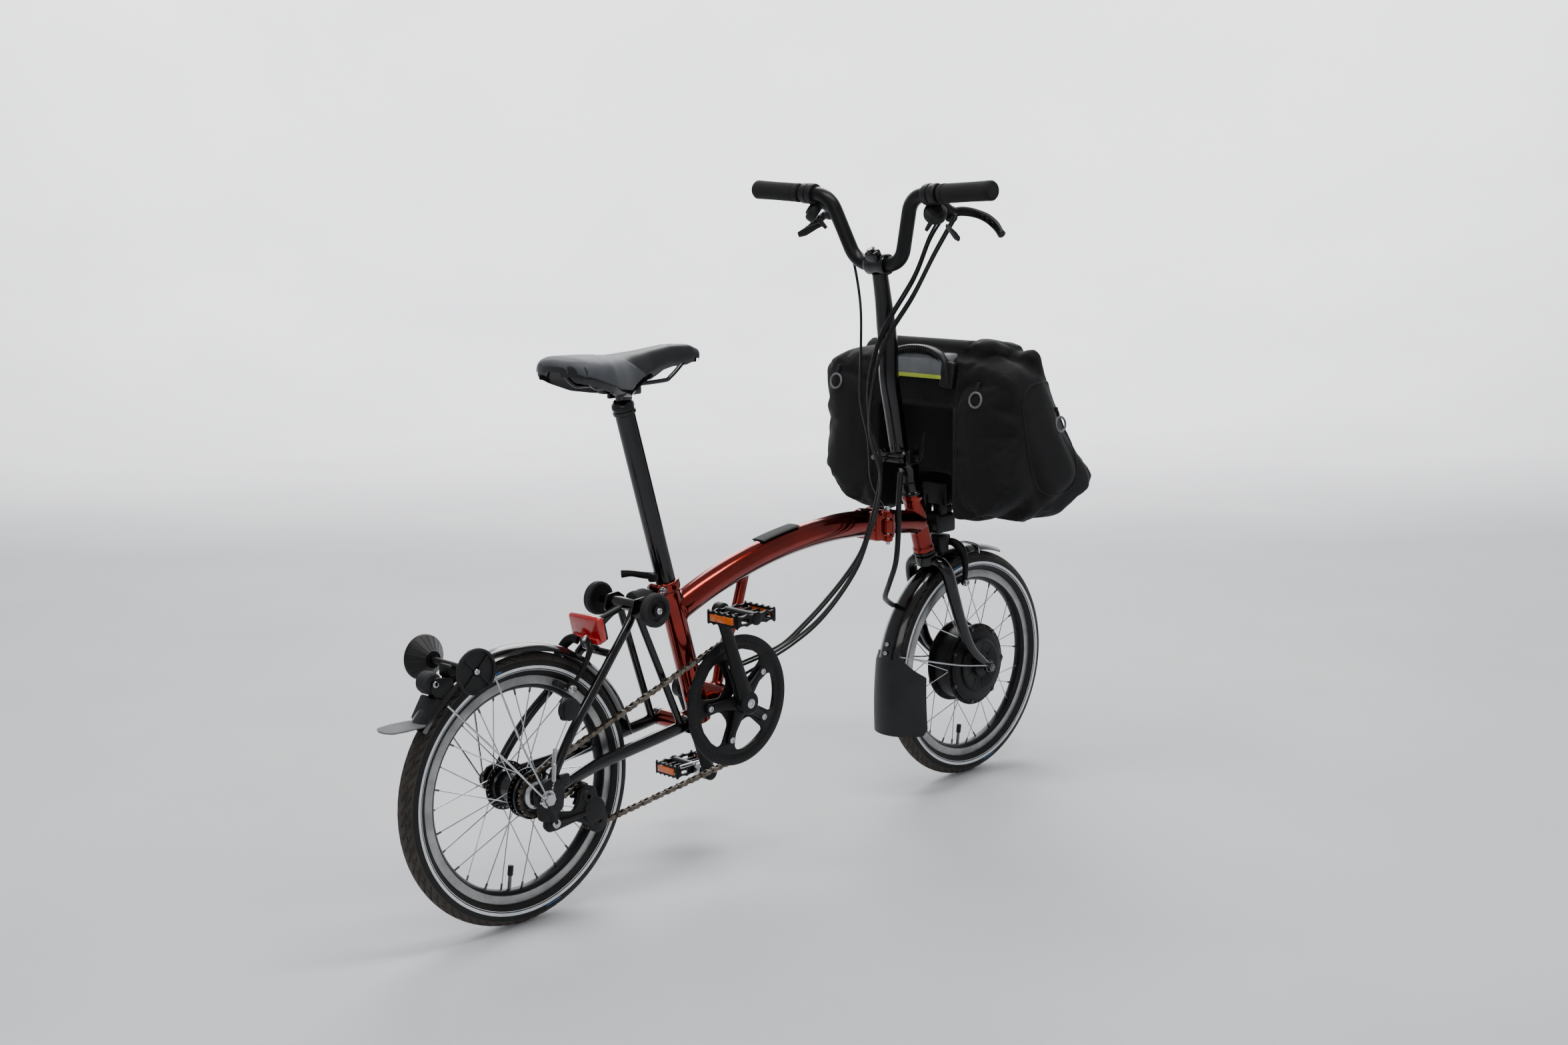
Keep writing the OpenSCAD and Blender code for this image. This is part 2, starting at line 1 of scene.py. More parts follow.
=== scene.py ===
"""Looks of the electric folding bicycle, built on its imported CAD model.

Shapes are worked out in millimetres from the rear axle's foot on the ground, +X forward,
+Y to the rider's left and +Z up, and are turned to metres in the model's frame at the end.
"""
import logging
import math
import random
from dataclasses import dataclass
from enum import Enum
from typing import Iterable, Sequence

import bmesh
import bpy
import numpy as np
from mathutils import Euler, Matrix, Vector


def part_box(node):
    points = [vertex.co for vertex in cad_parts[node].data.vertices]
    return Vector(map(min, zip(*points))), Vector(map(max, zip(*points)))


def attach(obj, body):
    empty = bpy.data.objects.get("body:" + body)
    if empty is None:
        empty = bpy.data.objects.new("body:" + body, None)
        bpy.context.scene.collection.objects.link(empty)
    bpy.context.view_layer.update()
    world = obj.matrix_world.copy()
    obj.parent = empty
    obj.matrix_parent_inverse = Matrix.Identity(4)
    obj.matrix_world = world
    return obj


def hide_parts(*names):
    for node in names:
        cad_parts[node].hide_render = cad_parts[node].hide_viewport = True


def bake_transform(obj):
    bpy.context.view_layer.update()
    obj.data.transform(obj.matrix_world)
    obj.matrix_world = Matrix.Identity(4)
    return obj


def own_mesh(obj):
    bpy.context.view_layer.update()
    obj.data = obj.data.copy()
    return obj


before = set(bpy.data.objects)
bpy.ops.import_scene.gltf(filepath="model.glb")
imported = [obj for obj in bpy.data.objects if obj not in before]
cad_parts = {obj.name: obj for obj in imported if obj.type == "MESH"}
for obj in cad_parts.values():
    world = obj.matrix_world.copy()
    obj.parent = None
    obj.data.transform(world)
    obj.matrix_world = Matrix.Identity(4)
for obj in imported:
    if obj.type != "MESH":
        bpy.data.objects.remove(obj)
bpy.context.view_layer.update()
LOG = logging.getLogger("bicycle")
Point = Sequence[float]


def middle_of(node: str) -> Vector:
    """Returns the middle of a CAD node's box in millimetres in the model's frame."""
    low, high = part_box(node)
    return (low + high) * 500


REAR_X = middle_of("rear_tyre").x
WHEELBASE = middle_of("front_tyre").x - REAR_X
AXLE_Z = middle_of("rear_tyre").z
TYRE_R = (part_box("rear_tyre")[1].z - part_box("rear_tyre")[0].z) * 500
REAR = np.array([0, 0, AXLE_Z])
FRONT = np.array([WHEELBASE, 0, AXLE_Z])
CRANK = np.array([middle_of("crank_axle").x - REAR_X, 0, middle_of("crank_axle").z])
BAR_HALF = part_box("grips")[1].y * 1000


# ---- materials ----

def linear(colour: str) -> tuple[float, float, float, float]:
    """Turns an sRGB hex colour to linear RGBA.

    Args:
        colour: six hex digits after a hash.
    Returns:
        The linear red, green, blue and an alpha of 1.
    """
    parts = [int(colour[i:i + 2], 16) / 255 for i in (1, 3, 5)]
    red, green, blue = (c / 12.92 if c <= 0.04045 else ((c + 0.055) / 1.055) ** 2.4 for c in parts)
    return red, green, blue, 1.0


def add(tree: bpy.types.NodeTree, kind: str, links: dict | None = None, **settings) -> bpy.types.Node:
    """Adds a node, sets its properties and fills its inputs.

    Args:
        tree: the material's node tree.
        kind: the node's type name without its ShaderNode prefix.
        links: for each input, an output socket to link or a value to set.
        settings: properties of the node.
    Returns:
        The new node.
    """
    node = tree.nodes.new("ShaderNode" + kind)
    for key, value in settings.items():
        setattr(node, key, value)
    for key, value in (links or {}).items():
        if isinstance(value, bpy.types.NodeSocket):
            tree.links.new(value, node.inputs[key])
        else:
            node.inputs[key].default_value = value
    return node


def mix(tree: bpy.types.NodeTree, share: bpy.types.NodeSocket, a: object, b: object) -> bpy.types.NodeSocket:
    """Returns colour a with a share of colour b; each is a socket or four numbers."""
    return add(tree, "Mix", {0: share, 6: a, 7: b}, data_type="RGBA").outputs[2]


class Surface(Enum):
    """What makes a finish's pattern."""

    GRAIN = "cloudy grain of a moulded or painted skin"
    BRUSHED = "fine lines of a drawn or brushed metal"
    WOVEN = "threads crossing over and under"
    CELLS = "open cells of a foam"


@dataclass(frozen=True)
class Finish:
    """A procedural material: one base colour, a second one mixed in, and a fine relief.

    pattern_mm is the real spacing of the pattern, relief_mm its height, and coat a clear top layer. A grazing colour,
    if given, is painted light: it is mixed in towards grazing angles, as painted shade on the lacquer and painted sheen
    on the tread.
    """

    name: str
    colour: str
    second: str
    roughness: float
    metallic: float = 0.0
    surface: Surface = Surface.GRAIN
    pattern_mm: float = 0.8
    relief_mm: float = 0.02
    patch_mm: float = 40.0
    spread: float = 0.08
    coat: float = 0.0
    sheen: float = 0.0
    # Painted light: a colour mixed in towards grazing angles, painted shade on the lacquer and painted sheen on the
    # tread.
    painted_grazing_light: str = ""
    shine: float = 0.32

    def pattern(self, tree: bpy.types.NodeTree, place: bpy.types.NodeSocket) -> bpy.types.NodeSocket:
        """Builds the fine pattern.

        Args:
            tree: the material's node tree.
            place: where on the piece, in metres.
        Returns:
            The pattern's height from 0 to 1.
        """
        per_metre = 1000 / self.pattern_mm
        if self.surface is Surface.WOVEN:
            waves = []
            for direction, phase in (("X", 0.0), ("Z", 0.0), ("Y", 0.0)):
                waves.append(add(tree, "TexWave", {"Vector": place, "Scale": per_metre / 6.283,
                    "Distortion": 0.6, "Detail": 0.0, "Phase Offset": phase}, bands_direction=direction))
            first = add(tree, "Math", {0: waves[0].outputs["Fac"], 1: waves[1].outputs["Fac"]},
                operation="MULTIPLY")
            both = add(tree, "Math", {0: first.outputs[0], 1: waves[2].outputs["Fac"]}, operation="ADD")
            return both.outputs[0]
        if self.surface is Surface.CELLS:
            return add(tree, "TexVoronoi", {"Vector": place, "Scale": per_metre}).outputs["Distance"]
        if self.surface is Surface.BRUSHED:
            stretched = add(tree, "Mapping", {"Vector": place, "Scale": (1.0, 0.04, 1.0)})
            place = stretched.outputs[0]
        return add(tree, "TexNoise", {"Vector": place, "Scale": per_metre, "Detail": 3.0}).outputs["Fac"]

    def material(self) -> bpy.types.Material:
        """Returns this finish's material, building it the first time."""
        found = bpy.data.materials.get(self.name)
        if found:
            return found
        made = bpy.data.materials.new(self.name)
        made.use_nodes = True
        tree = made.node_tree
        tree.nodes.clear()
        place = add(tree, "TexCoord").outputs["Object"]
        fine = self.pattern(tree, place)
        patches = add(tree, "TexNoise", {"Vector": place, "Scale": 1000 / self.patch_mm, "Detail": 4.0})
        share = add(tree, "MapRange", {"Value": patches.outputs["Fac"], "From Min": 0.35, "From Max": 0.7})
        colour = mix(tree, share.outputs[0], linear(self.colour), linear(self.second))
        # Painted light: towards grazing angles the colour turns to the grazing colour, painted shade on the lacquer's
        # sides and painted sheen on the tread's shoulders.
        if self.painted_grazing_light:
            facing = add(tree, "LayerWeight", {"Blend": 0.35})
            colour = mix(tree, facing.outputs["Facing"], colour, linear(self.painted_grazing_light))
        rough = add(tree, "MapRange", {"Value": patches.outputs["Fac"], "To Min": max(self.roughness
            - self.spread, 0.02), "To Max": min(self.roughness + self.spread, 1.0)})
        bump = add(tree, "Bump", {"Height": fine, "Strength": 1.0, "Distance": self.relief_mm / 1000})
        shader = add(tree, "BsdfPrincipled", {"Base Color": colour, "Roughness": rough.outputs[0],
            "Metallic": self.metallic, "Normal": bump.outputs[0], "Coat Weight": self.coat,
            "Coat Roughness": 0.06, "Sheen Weight": self.sheen, "Sheen Roughness": 0.5,
            "Specular IOR Level": 0.5 if self.metallic > 0.5 else self.shine})
        output = add(tree, "OutputMaterial", {"Surface": shader.outputs[0]})
        output.is_active_output = True
        return made


# Clear tinted lacquer over bare steel, bright orange where it mirrors a light; its deep red towards the tubes' sides is
# painted shade, mixed in at grazing angles.
LACQUER = Finish("tinted_lacquer", "#8E1C06", "#6E1104", 0.17, 1.0, patch_mm=60, spread=0.04, relief_mm=0.004,
    coat=0.6, painted_grazing_light="#3A0602")
# Powder coat is baked from dust, which leaves a faint orange-peel relief under a high gloss.
POWDER = Finish("black_powder_coat", "#060607", "#0A0A0B", 0.2, relief_mm=0.012, pattern_mm=1.6, coat=0.3)
# Anodised aluminium keeps the metal's soft shine under a thin black skin.
ANODISED = Finish("black_anodised_aluminium", "#101011", "#161617", 0.38, 0.4, pattern_mm=0.5, relief_mm=0.008)
# Cold-forged cranks are shot-blasted before anodising, so they look chalky.
BLASTED = Finish("shot_blasted_black", "#0E0E0F", "#141415", 0.48, 0.3, pattern_mm=0.35, relief_mm=0.015)
# Zinc-plated and stainless small parts with turning marks.
STEEL = Finish("plated_steel", "#C9CACC", "#A9AAAD", 0.24, 1.0, Surface.BRUSHED, pattern_mm=0.4,
    relief_mm=0.006)
# The brake track is machined, so it is bright, with rings of fine lines and grey pad marks.
TRACK = Finish("machined_brake_track", "#A6A6A5", "#8C8C8C", 0.36, 1.0, Surface.BRUSHED, pattern_mm=0.5,
    patch_mm=25)
RIM_BLACK = Finish("black_rim", "#1B1B1D", "#222225", 0.4, 0.7, pattern_mm=0.6, relief_mm=0.006)
# Vulcanised rubber, dusty on its tread and cleaner on its walls; the tread turns lighter towards grazing angles, a
# painted sheen.
TREAD = Finish("tread_rubber", "#33302D", "#47423D", 0.9, pattern_mm=0.7, relief_mm=0.05, patch_mm=30,
    painted_grazing_light="#4C4741")
WALL = Finish("tyre_wall_rubber", "#141414", "#1B1A19", 0.6, pattern_mm=0.5, relief_mm=0.02)
REFLECTIVE = Finish("reflective_band", "#E4E6E8", "#CFD2D6", 0.4, pattern_mm=0.4, relief_mm=0.01, patch_mm=12)
BLUE_MARK = Finish("blue_marking", "#3C6EA8", "#2F5D96", 0.6)
RUBBER = Finish("grey_rubber", "#232324", "#2C2C2D", 0.75, pattern_mm=0.6, relief_mm=0.03)
FLAP = Finish("flexible_flap", "#17171A", "#1E1E21", 0.5, pattern_mm=0.6, relief_mm=0.02)
GREY_FLAP = Finish("grey_moulded_rubber", "#6C6D6F", "#5E5F61", 0.6, pattern_mm=0.6, relief_mm=0.02)
# Glass-filled nylon comes out of its mould with a fine spark-eroded texture.
NYLON = Finish("glass_filled_nylon", "#0C0C0D", "#121213", 0.5, pattern_mm=0.6, relief_mm=0.03)
GLOSS = Finish("gloss_black_plastic", "#0A0A0B", "#0E0E0F", 0.14, pattern_mm=2.0, relief_mm=0.004, coat=0.5)
CHAIN_STEEL = Finish("oiled_chain_steel", "#7C746A", "#4E4841", 0.36, 1.0, pattern_mm=0.8, relief_mm=0.02,
    patch_mm=9)
DARK_STEEL = Finish("grey_steel", "#6B6C6E", "#55565A", 0.35, 1.0, Surface.BRUSHED, pattern_mm=0.4)
RED_LENS = Finish("red_reflector", "#B80508", "#960306", 0.2, pattern_mm=3.0, relief_mm=0.25,
    surface=Surface.CELLS, coat=1.0)
ORANGE_LENS = Finish("orange_reflector", "#D9660B", "#B84E06", 0.2, pattern_mm=2.4, relief_mm=0.25,
    surface=Surface.CELLS, coat=0.8)
SADDLE_SKIN = Finish("saddle_skin", "#151618", "#1B1C1F", 0.48, pattern_mm=0.9, relief_mm=0.04, sheen=0.04)
SADDLE_PANEL = Finish("saddle_grey_panel", "#3E4043", "#484A4E", 0.55, pattern_mm=0.9, relief_mm=0.05,
    sheen=0.05)
FOAM = Finish("foam_grip", "#0E0E0E", "#141414", 0.85, surface=Surface.CELLS, pattern_mm=0.7, relief_mm=0.08,
    sheen=0.04)
# Plain woven nylon: threads 0.6 mm apart, drawn at 1.4 mm so that they show.
FABRIC = Finish("woven_nylon", "#060607", "#0B0B0D", 0.85, surface=Surface.WOVEN, pattern_mm=1.4,
    relief_mm=0.07, patch_mm=55, sheen=0.03)
WEBBING = Finish("ribbed_webbing", "#0E0E10", "#151517", 0.8, surface=Surface.WOVEN, pattern_mm=2.2,
    relief_mm=0.15, sheen=0.05)
BATTERY_GREY = Finish("battery_grey", "#74777A", "#64676A", 0.5, pattern_mm=0.6, relief_mm=0.02)
LIME = Finish("yellow_green_strip", "#B9C94B", "#A6B83E", 0.5)
CABLE_SKIN = Finish("cable_skin", "#0E0E0F", "#141415", 0.45, pattern_mm=1.0, relief_mm=0.01)
FLOOR = Finish("pale_floor", "#CFD0D2", "#C8C9CC", 0.6, pattern_mm=3.0, relief_mm=0.02, patch_mm=700)
BY_SLOT = {"lacquer": LACQUER, "black_paint": POWDER, "satin_black": ANODISED, "steel": STEEL, "rim": RIM_BLACK,
    "tyre": WALL, "black_plastic": NYLON, "gloss_plastic": GLOSS, "rubber": RUBBER, "reflector": RED_LENS,
    "saddle": SADDLE_SKIN, "grip_foam": FOAM, "bag_fabric": FABRIC, "battery": BATTERY_GREY,
    "cable": CABLE_SKIN, "chain": CHAIN_STEEL}
NODE_SLOTS = {"suspension_block": "rubber", "rear_light": "reflector", "carrier_block": "black_plastic",
    "hinge_clamp": "lacquer"}


# ---- shapes ----

def unit(v: np.ndarray) -> np.ndarray:
    """Returns v at length 1."""
    return v / max(np.linalg.norm(v), 1e-9)


def curve_through(points: Sequence[Point], step: float = 4.0) -> np.ndarray:
    """Runs a smooth curve through points, evenly spaced.

    Args:
        points: the points, in order.
        step: the distance between the points returned.
    Returns:
        Points along the curve, the two ends included.
    """
    p = np.asarray(points, float)
    p = np.vstack([2 * p[0] - p[1], p, 2 * p[-1] - p[-2]])
    out = []
    for i in range(1, len(p) - 2):
        t = np.linspace(0, 1, 24, endpoint=False)[:, None]
        a, b, c, d = p[i - 1], p[i], p[i + 1], p[i + 2]
        out.append(0.5 * (2 * b + (c - a) * t + (2 * a - 5 * b + 4 * c - d) * t ** 2
            + (3 * b - a - 3 * c + d) * t ** 3))
    line = np.vstack(out + [p[-2][None]])
    along = np.concatenate([[0], np.cumsum(np.linalg.norm(np.diff(line, axis=0), axis=1))])
    count = max(int(round(along[-1] / step)), 2) + 1
    even = np.linspace(0, along[-1], count)
    return np.stack([np.interp(even, along, line[:, k]) for k in range(line.shape[1])], axis=1)


def rounded(points: Sequence[Point], radius: float, parts: int = 6) -> list[np.ndarray]:
    """Rounds the corners of a route with arcs.

    Args:
        points: the route's corners.
        radius: the radius of every bend.
        parts: how many pieces each arc is cut into.
    Returns:
        The route's points with each corner replaced by an arc.
    """
    p = [np.asarray(q, float) for q in points]
    out = [p[0]]
    for a, b, c in zip(p, p[1:], p[2:]):
        u, v = unit(a - b), unit(c - b)
        half = math.acos(float(np.clip(u @ v, -1, 1))) / 2
        back = min(radius / math.tan(half), 0.49 * np.linalg.norm(a - b), 0.49 * np.linalg.norm(c - b))
        r = back * math.tan(half)
        centre = b + unit(u + v) * r / math.sin(half)
        start, end = b + u * back - centre, b + v * back - centre
        for k in range(parts + 1):
            out.append(centre + unit(start * (1 - k / parts) + end * (k / parts)) * r)
    return out + [p[-1]]


def outline_of(corners: Sequence[Point], radius: float | Sequence[float],
        parts: int = 5) -> list[tuple[float, float]]:
    """Rounds a flat outline's corners.

    Args:
        corners: the outline's corners (across, up).
        radius: one radius, or one for each corner.
        parts: how many pieces each arc is cut into.
    Returns:
        The rounded outline.
    """
    n = len(corners)
    radii = [radius] * n if isinstance(radius, (int, float)) else list(radius)
    out: list[tuple[float, float]] = []
    for i in range(n):
        trio = [corners[i - 1], corners[i], corners[(i + 1) % n]]
        trio = [(*q, 0.0) for q in trio]
        out += [(float(q[0]), float(q[1])) for q in rounded(trio, radii[i], parts)[1:-1]]
    return out


def circle(x: float, z: float, r: float, parts: int = 32) -> list[tuple[float, float]]:
    """Returns a flat circle's points."""
    return [(x + r * math.cos(2 * math.pi * k / parts), z + r * math.sin(2 * math.pi * k / parts))
        for k in range(parts)]


class Shape:
    """Points in millimetres from the rear axle's foot, and the faces between them."""

    def __init__(self) -> None:
        """Starts with nothing."""
        self.points: list[np.ndarray] = []
        self.faces: list[tuple[int, ...]] = []
        self.count = 0

    def add(self, points: Iterable[Point], faces: Iterable[Sequence[int]]) -> "Shape":
        """Adds points and the faces between them."""
        points = np.asarray(points, float).reshape(-1, 3)
        self.faces += [tuple(i + self.count for i in f) for f in faces]
        self.points.append(points)
        self.count += len(points)
        return self

    def grid(self, rows: np.ndarray, round_rows: bool = True, round_columns: bool = False,
            caps: bool = True) -> "Shape":
        """Adds a skin over rows of points.

        Args:
            rows: an array of rows, each row with the same number of points.
            round_rows: whether each row closes on itself.
            round_columns: whether the last row joins the first.
            caps: whether the first and the last row are closed by a face.
        """
        n, m = rows.shape[:2]
        faces = [(i * m + j, i * m + (j + 1) % m, (i + 1) % n * m + (j + 1) % m, (i + 1) % n * m + j)
            for i in range(n if round_columns else n - 1) for j in range(m if round_rows else m - 1)]
        if caps and not round_columns:
            faces += [tuple(reversed(range(m))), tuple(range((n - 1) * m, n * m))]
        return self.add(rows.reshape(-1, 3), faces)

    def tube(self, path: Sequence[Point], radius: float | Sequence[float], sides: int = 20, flat: float = 1.0,
            up: Point = (0, 1, 0)) -> "Shape":
        """Sweeps a round or oval section along a path.

        Args:
            path: the points of its middle line.
            radius: one radius, or one for each point.
            sides: corners of the section.
            flat: how much thinner the section is across `up` than along it.
            up: the direction that the section's long side follows.
        """
        p = np.asarray(path, float)
        tangent = np.array([unit(t) for t in np.gradient(p, axis=0)])
        radii = np.full(len(p), radius, float) if isinstance(radius, (int, float)) else np.interp(np.linspace(0,
            1, len(p)), np.linspace(0, 1, len(radius)), radius)
        side = np.asarray(up, float)
        if abs(side @ tangent[0]) > 0.95:
            side = np.array([0.0, 0.0, 1.0]) if abs(tangent[0][2]) < 0.9 else np.array([1.0, 0.0, 0.0])
        rows = []
        angles = np.linspace(0, 2 * math.pi, sides, endpoint=False)
        for q, t, r in zip(p, tangent, radii):
            side = unit(side - t * (side @ t))
            other = np.cross(t, side)
            rows.append(q + r * (np.cos(angles)[:, None] * side + np.sin(angles)[:, None] * flat * other))
        return self.grid(np.array(rows))

    def rod(self, a: Point, b: Point, radius: float, end_radius: float | None = None, sides: int = 24,
            edge: float = 0.6) -> "Shape":
        """Adds a straight round bar with softened ends."""
        a, b = np.asarray(a, float), np.asarray(b, float)
        last = radius if end_radius is None else end_radius
        way = unit(b - a)
        edge = min(edge, 0.45 * np.linalg.norm(b - a), 0.6 * min(radius, last))
        path = [a, a + way * edge, b - way * edge, b]
        self_radii = [radius - edge, radius, last, last - edge]
        side = unit(np.cross(way, [0.0, 0.0, 1.0] if abs(way[2]) < 0.9 else [1.0, 0.0, 0.0]))
        other = np.cross(way, side)
        angles = np.linspace(0, 2 * math.pi, sides, endpoint=False)
        ring = np.cos(angles)[:, None] * side + np.sin(angles)[:, None] * other
        return self.grid(np.array([q + r * ring for q, r in zip(path, self_radii)]))

    def turned(self, centre: Point, profile: Sequence[Point], axis: Point = (0, 1, 0), sides: int = 48,
            ring: bool = False) -> "Shape":
        """Adds a turned part.

        Args:
            centre: the point on the axis from which the profile is measured.
            profile: pairs of radius and distance along the axis.
            axis: the axis's direction.
            sides: corners around the axis.
            ring: whether the profile closes on itself, as in a tyre.
        """
        way = unit(np.asarray(axis, float))
        side = unit(np.cross(way, [0.0, 0.0, 1.0] if abs(way[2]) < 0.9 else [1.0, 0.0, 0.0]))
        other = np.cross(way, side)
        angles = np.linspace(0, 2 * math.pi, sides, endpoint=False)
        around = np.cos(angles)[:, None] * side + np.sin(angles)[:, None] * other
        rows = np.array([np.asarray(centre, float) + way * t + around * max(r, 0.01) for r, t in profile])
        return self.grid(rows, round_columns=ring)

    def block(self, centre: Point, size: Point, edge: float = 1.5, turn: Point = (0, 0, 0)) -> "Shape":
        """Adds a box with rounded edges, turned by angles in degrees about X, Y and Z."""
        bm = bmesh.new()
        bmesh.ops.create_cube(bm, size=1.0)
        bmesh.ops.scale(bm, vec=size, verts=bm.verts)
        bmesh.ops.bevel(bm, geom=bm.edges[:], offset=min(edge, 0.45 * min(size)), segments=3, profile=0.5,
            affect="EDGES")
        place = Matrix.Translation(Vector(centre)) @ Euler([math.radians(a) for a in turn]).to_matrix().to_4x4()
        bmesh.ops.transform(bm, matrix=place, verts=bm.verts)
        bm.verts.index_update()
        self.add([v.co[:] for v in bm.verts], [[v.index for v in f.verts] for f in bm.faces])
        bm.free()
        return self

    def plate(self, outline: Sequence[Point], y0: float, y1: float, holes: Sequence[Sequence[Point]] = (),
            edge: float = 0.5, place: Matrix | None = None) -> "Shape":
        """Adds a flat plate cut to an outline in the side view.

        Args:
            outline: its (x, z) corners.
            y0: its right face.
            y1: its left face.
            holes: outlines cut out of it.
            edge: how far its edges are rounded.
            place: a further placing, for a plate that doesn't lie in the side view.
        """
        curve = bpy.data.curves.new("plate", "CURVE")
        curve.dimensions, curve.fill_mode = "2D", "BOTH"
        curve.extrude, curve.bevel_depth, curve.offset, curve.bevel_resolution = (y1
            - y0) / 2 - edge, edge, -edge, 1
        for loop in [outline, *holes]:
            spline = curve.splines.new("POLY")
            spline.points.add(len(loop) - 1)
            for point, (x, z) in zip(spline.points, loop):
                point.co = (x, z, 0, 1)
            spline.use_cyclic_u = True
        holder = bpy.data.objects.new("plate", curve)
        mesh = bpy.data.meshes.new_from_object(holder)
        turn = Matrix(((1, 0, 0, 0), (0, 0, -1, (y0 + y1) / 2), (0, 1, 0, 0), (0, 0, 0, 1)))
        mesh.transform((place or Matrix.Identity(4)) @ turn)
        self.add([v.co[:] for v in mesh.vertices], [list(f.vertices) for f in mesh.polygons])
        bpy.data.objects.remove(holder)
        bpy.data.curves.remove(curve)
        bpy.data.meshes.remove(mesh)
        return self

    def both_sides(self) -> "Shape":
        """Adds the mirror image of everything so far on the other side of the bicycle."""
        points = np.vstack(self.points)
        return self.add(points * [1, -1, 1], [tuple(reversed(f)) for f in self.faces])

    def moved(self, matrix: Matrix) -> "Shape":
        """Moves everything so far by a matrix."""
        turn, shift = np.array(matrix.to_3x3()), np.array(matrix.translation)
        self.points = [p @ turn.T + shift for p in self.points]
        return self

    def mesh(self, name: str, sharp: float = 35) -> bpy.types.Mesh:
        """Returns a mesh of the shape in metres in the model's frame, smooth but for edges over `sharp` degrees."""
        mesh = bpy.data.meshes.new(name)
        mesh.from_pydata((np.vstack(self.points) + [REAR_X, 0, 0]) / 1000, [], self.faces)
        bm = bmesh.new()
        bm.from_mesh(mesh)
        bmesh.ops.remove_doubles(bm, verts=bm.verts, dist=1e-6)
        bmesh.ops.recalc_face_normals(bm, faces=bm.faces)
        bm.to_mesh(mesh)
        bm.free()
        mesh.shade_smooth()
        mesh.set_sharp_from_angle(angle=math.radians(sharp))
        return mesh

    def piece(self, name: str, finish: Finish, body: str, slot: str, replaces: Sequence[str] = (),
            sharp: float = 35) -> bpy.types.Object:
        """Makes the shape a piece of the bicycle.

        Args:
            name: the piece's name.
            finish: what it is made of.
            body: the CAD body that it moves with.
            slot: not used.
            replaces: CAD nodes that it is shown in place of.
            sharp: edges sharper than this many degrees stay crisp.
        Returns:
            The piece.
        """
        made = bpy.data.objects.new(name, self.mesh(name, sharp))
        bpy.context.scene.collection.objects.link(made)
        return settle(made, finish, body, replaces)


def settle(made: bpy.types.Object, finish: Finish, body: str,
        replaces: Sequence[str] = ()) -> bpy.types.Object:
    """Gives a piece its material and its body, and hides the CAD nodes that it stands for."""
    made.data.materials.clear()
    made.data.materials.append(finish.material())
    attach(made, body)
    if replaces:
        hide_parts(*replaces)
    LOG.info("%s: %d faces, on %s", made.name, len(made.data.polygons), body)
    return made


def on_ring(centre: Point, r: float, degrees: float, y: float = 0.0) -> np.ndarray:
    """Returns the point at a radius and an angle from forward about a left-right axis."""
    a = math.radians(degrees)
    return np.array([centre[0] + r * math.cos(a), y, centre[2] + r * math.sin(a)])


def squarish(value: float) -> float:
    """Returns a sine or cosine pushed towards its ends, which turns an ellipse into a rounded box."""
    return math.copysign(abs(value) ** 0.6, value)


def bolt(shape: Shape, place: Point, way: Point, r: float, high: float) -> Shape:
    """Adds a domed socket-head bolt to a shape."""
    return shape.turned(place, [(r, 0), (r, high * 0.6), (r * 0.85, high * 0.9), (r * 0.5, high),
        (r * 0.48, high * 0.5), (0, high * 0.5)], way, 20)


# ---- wheels ----

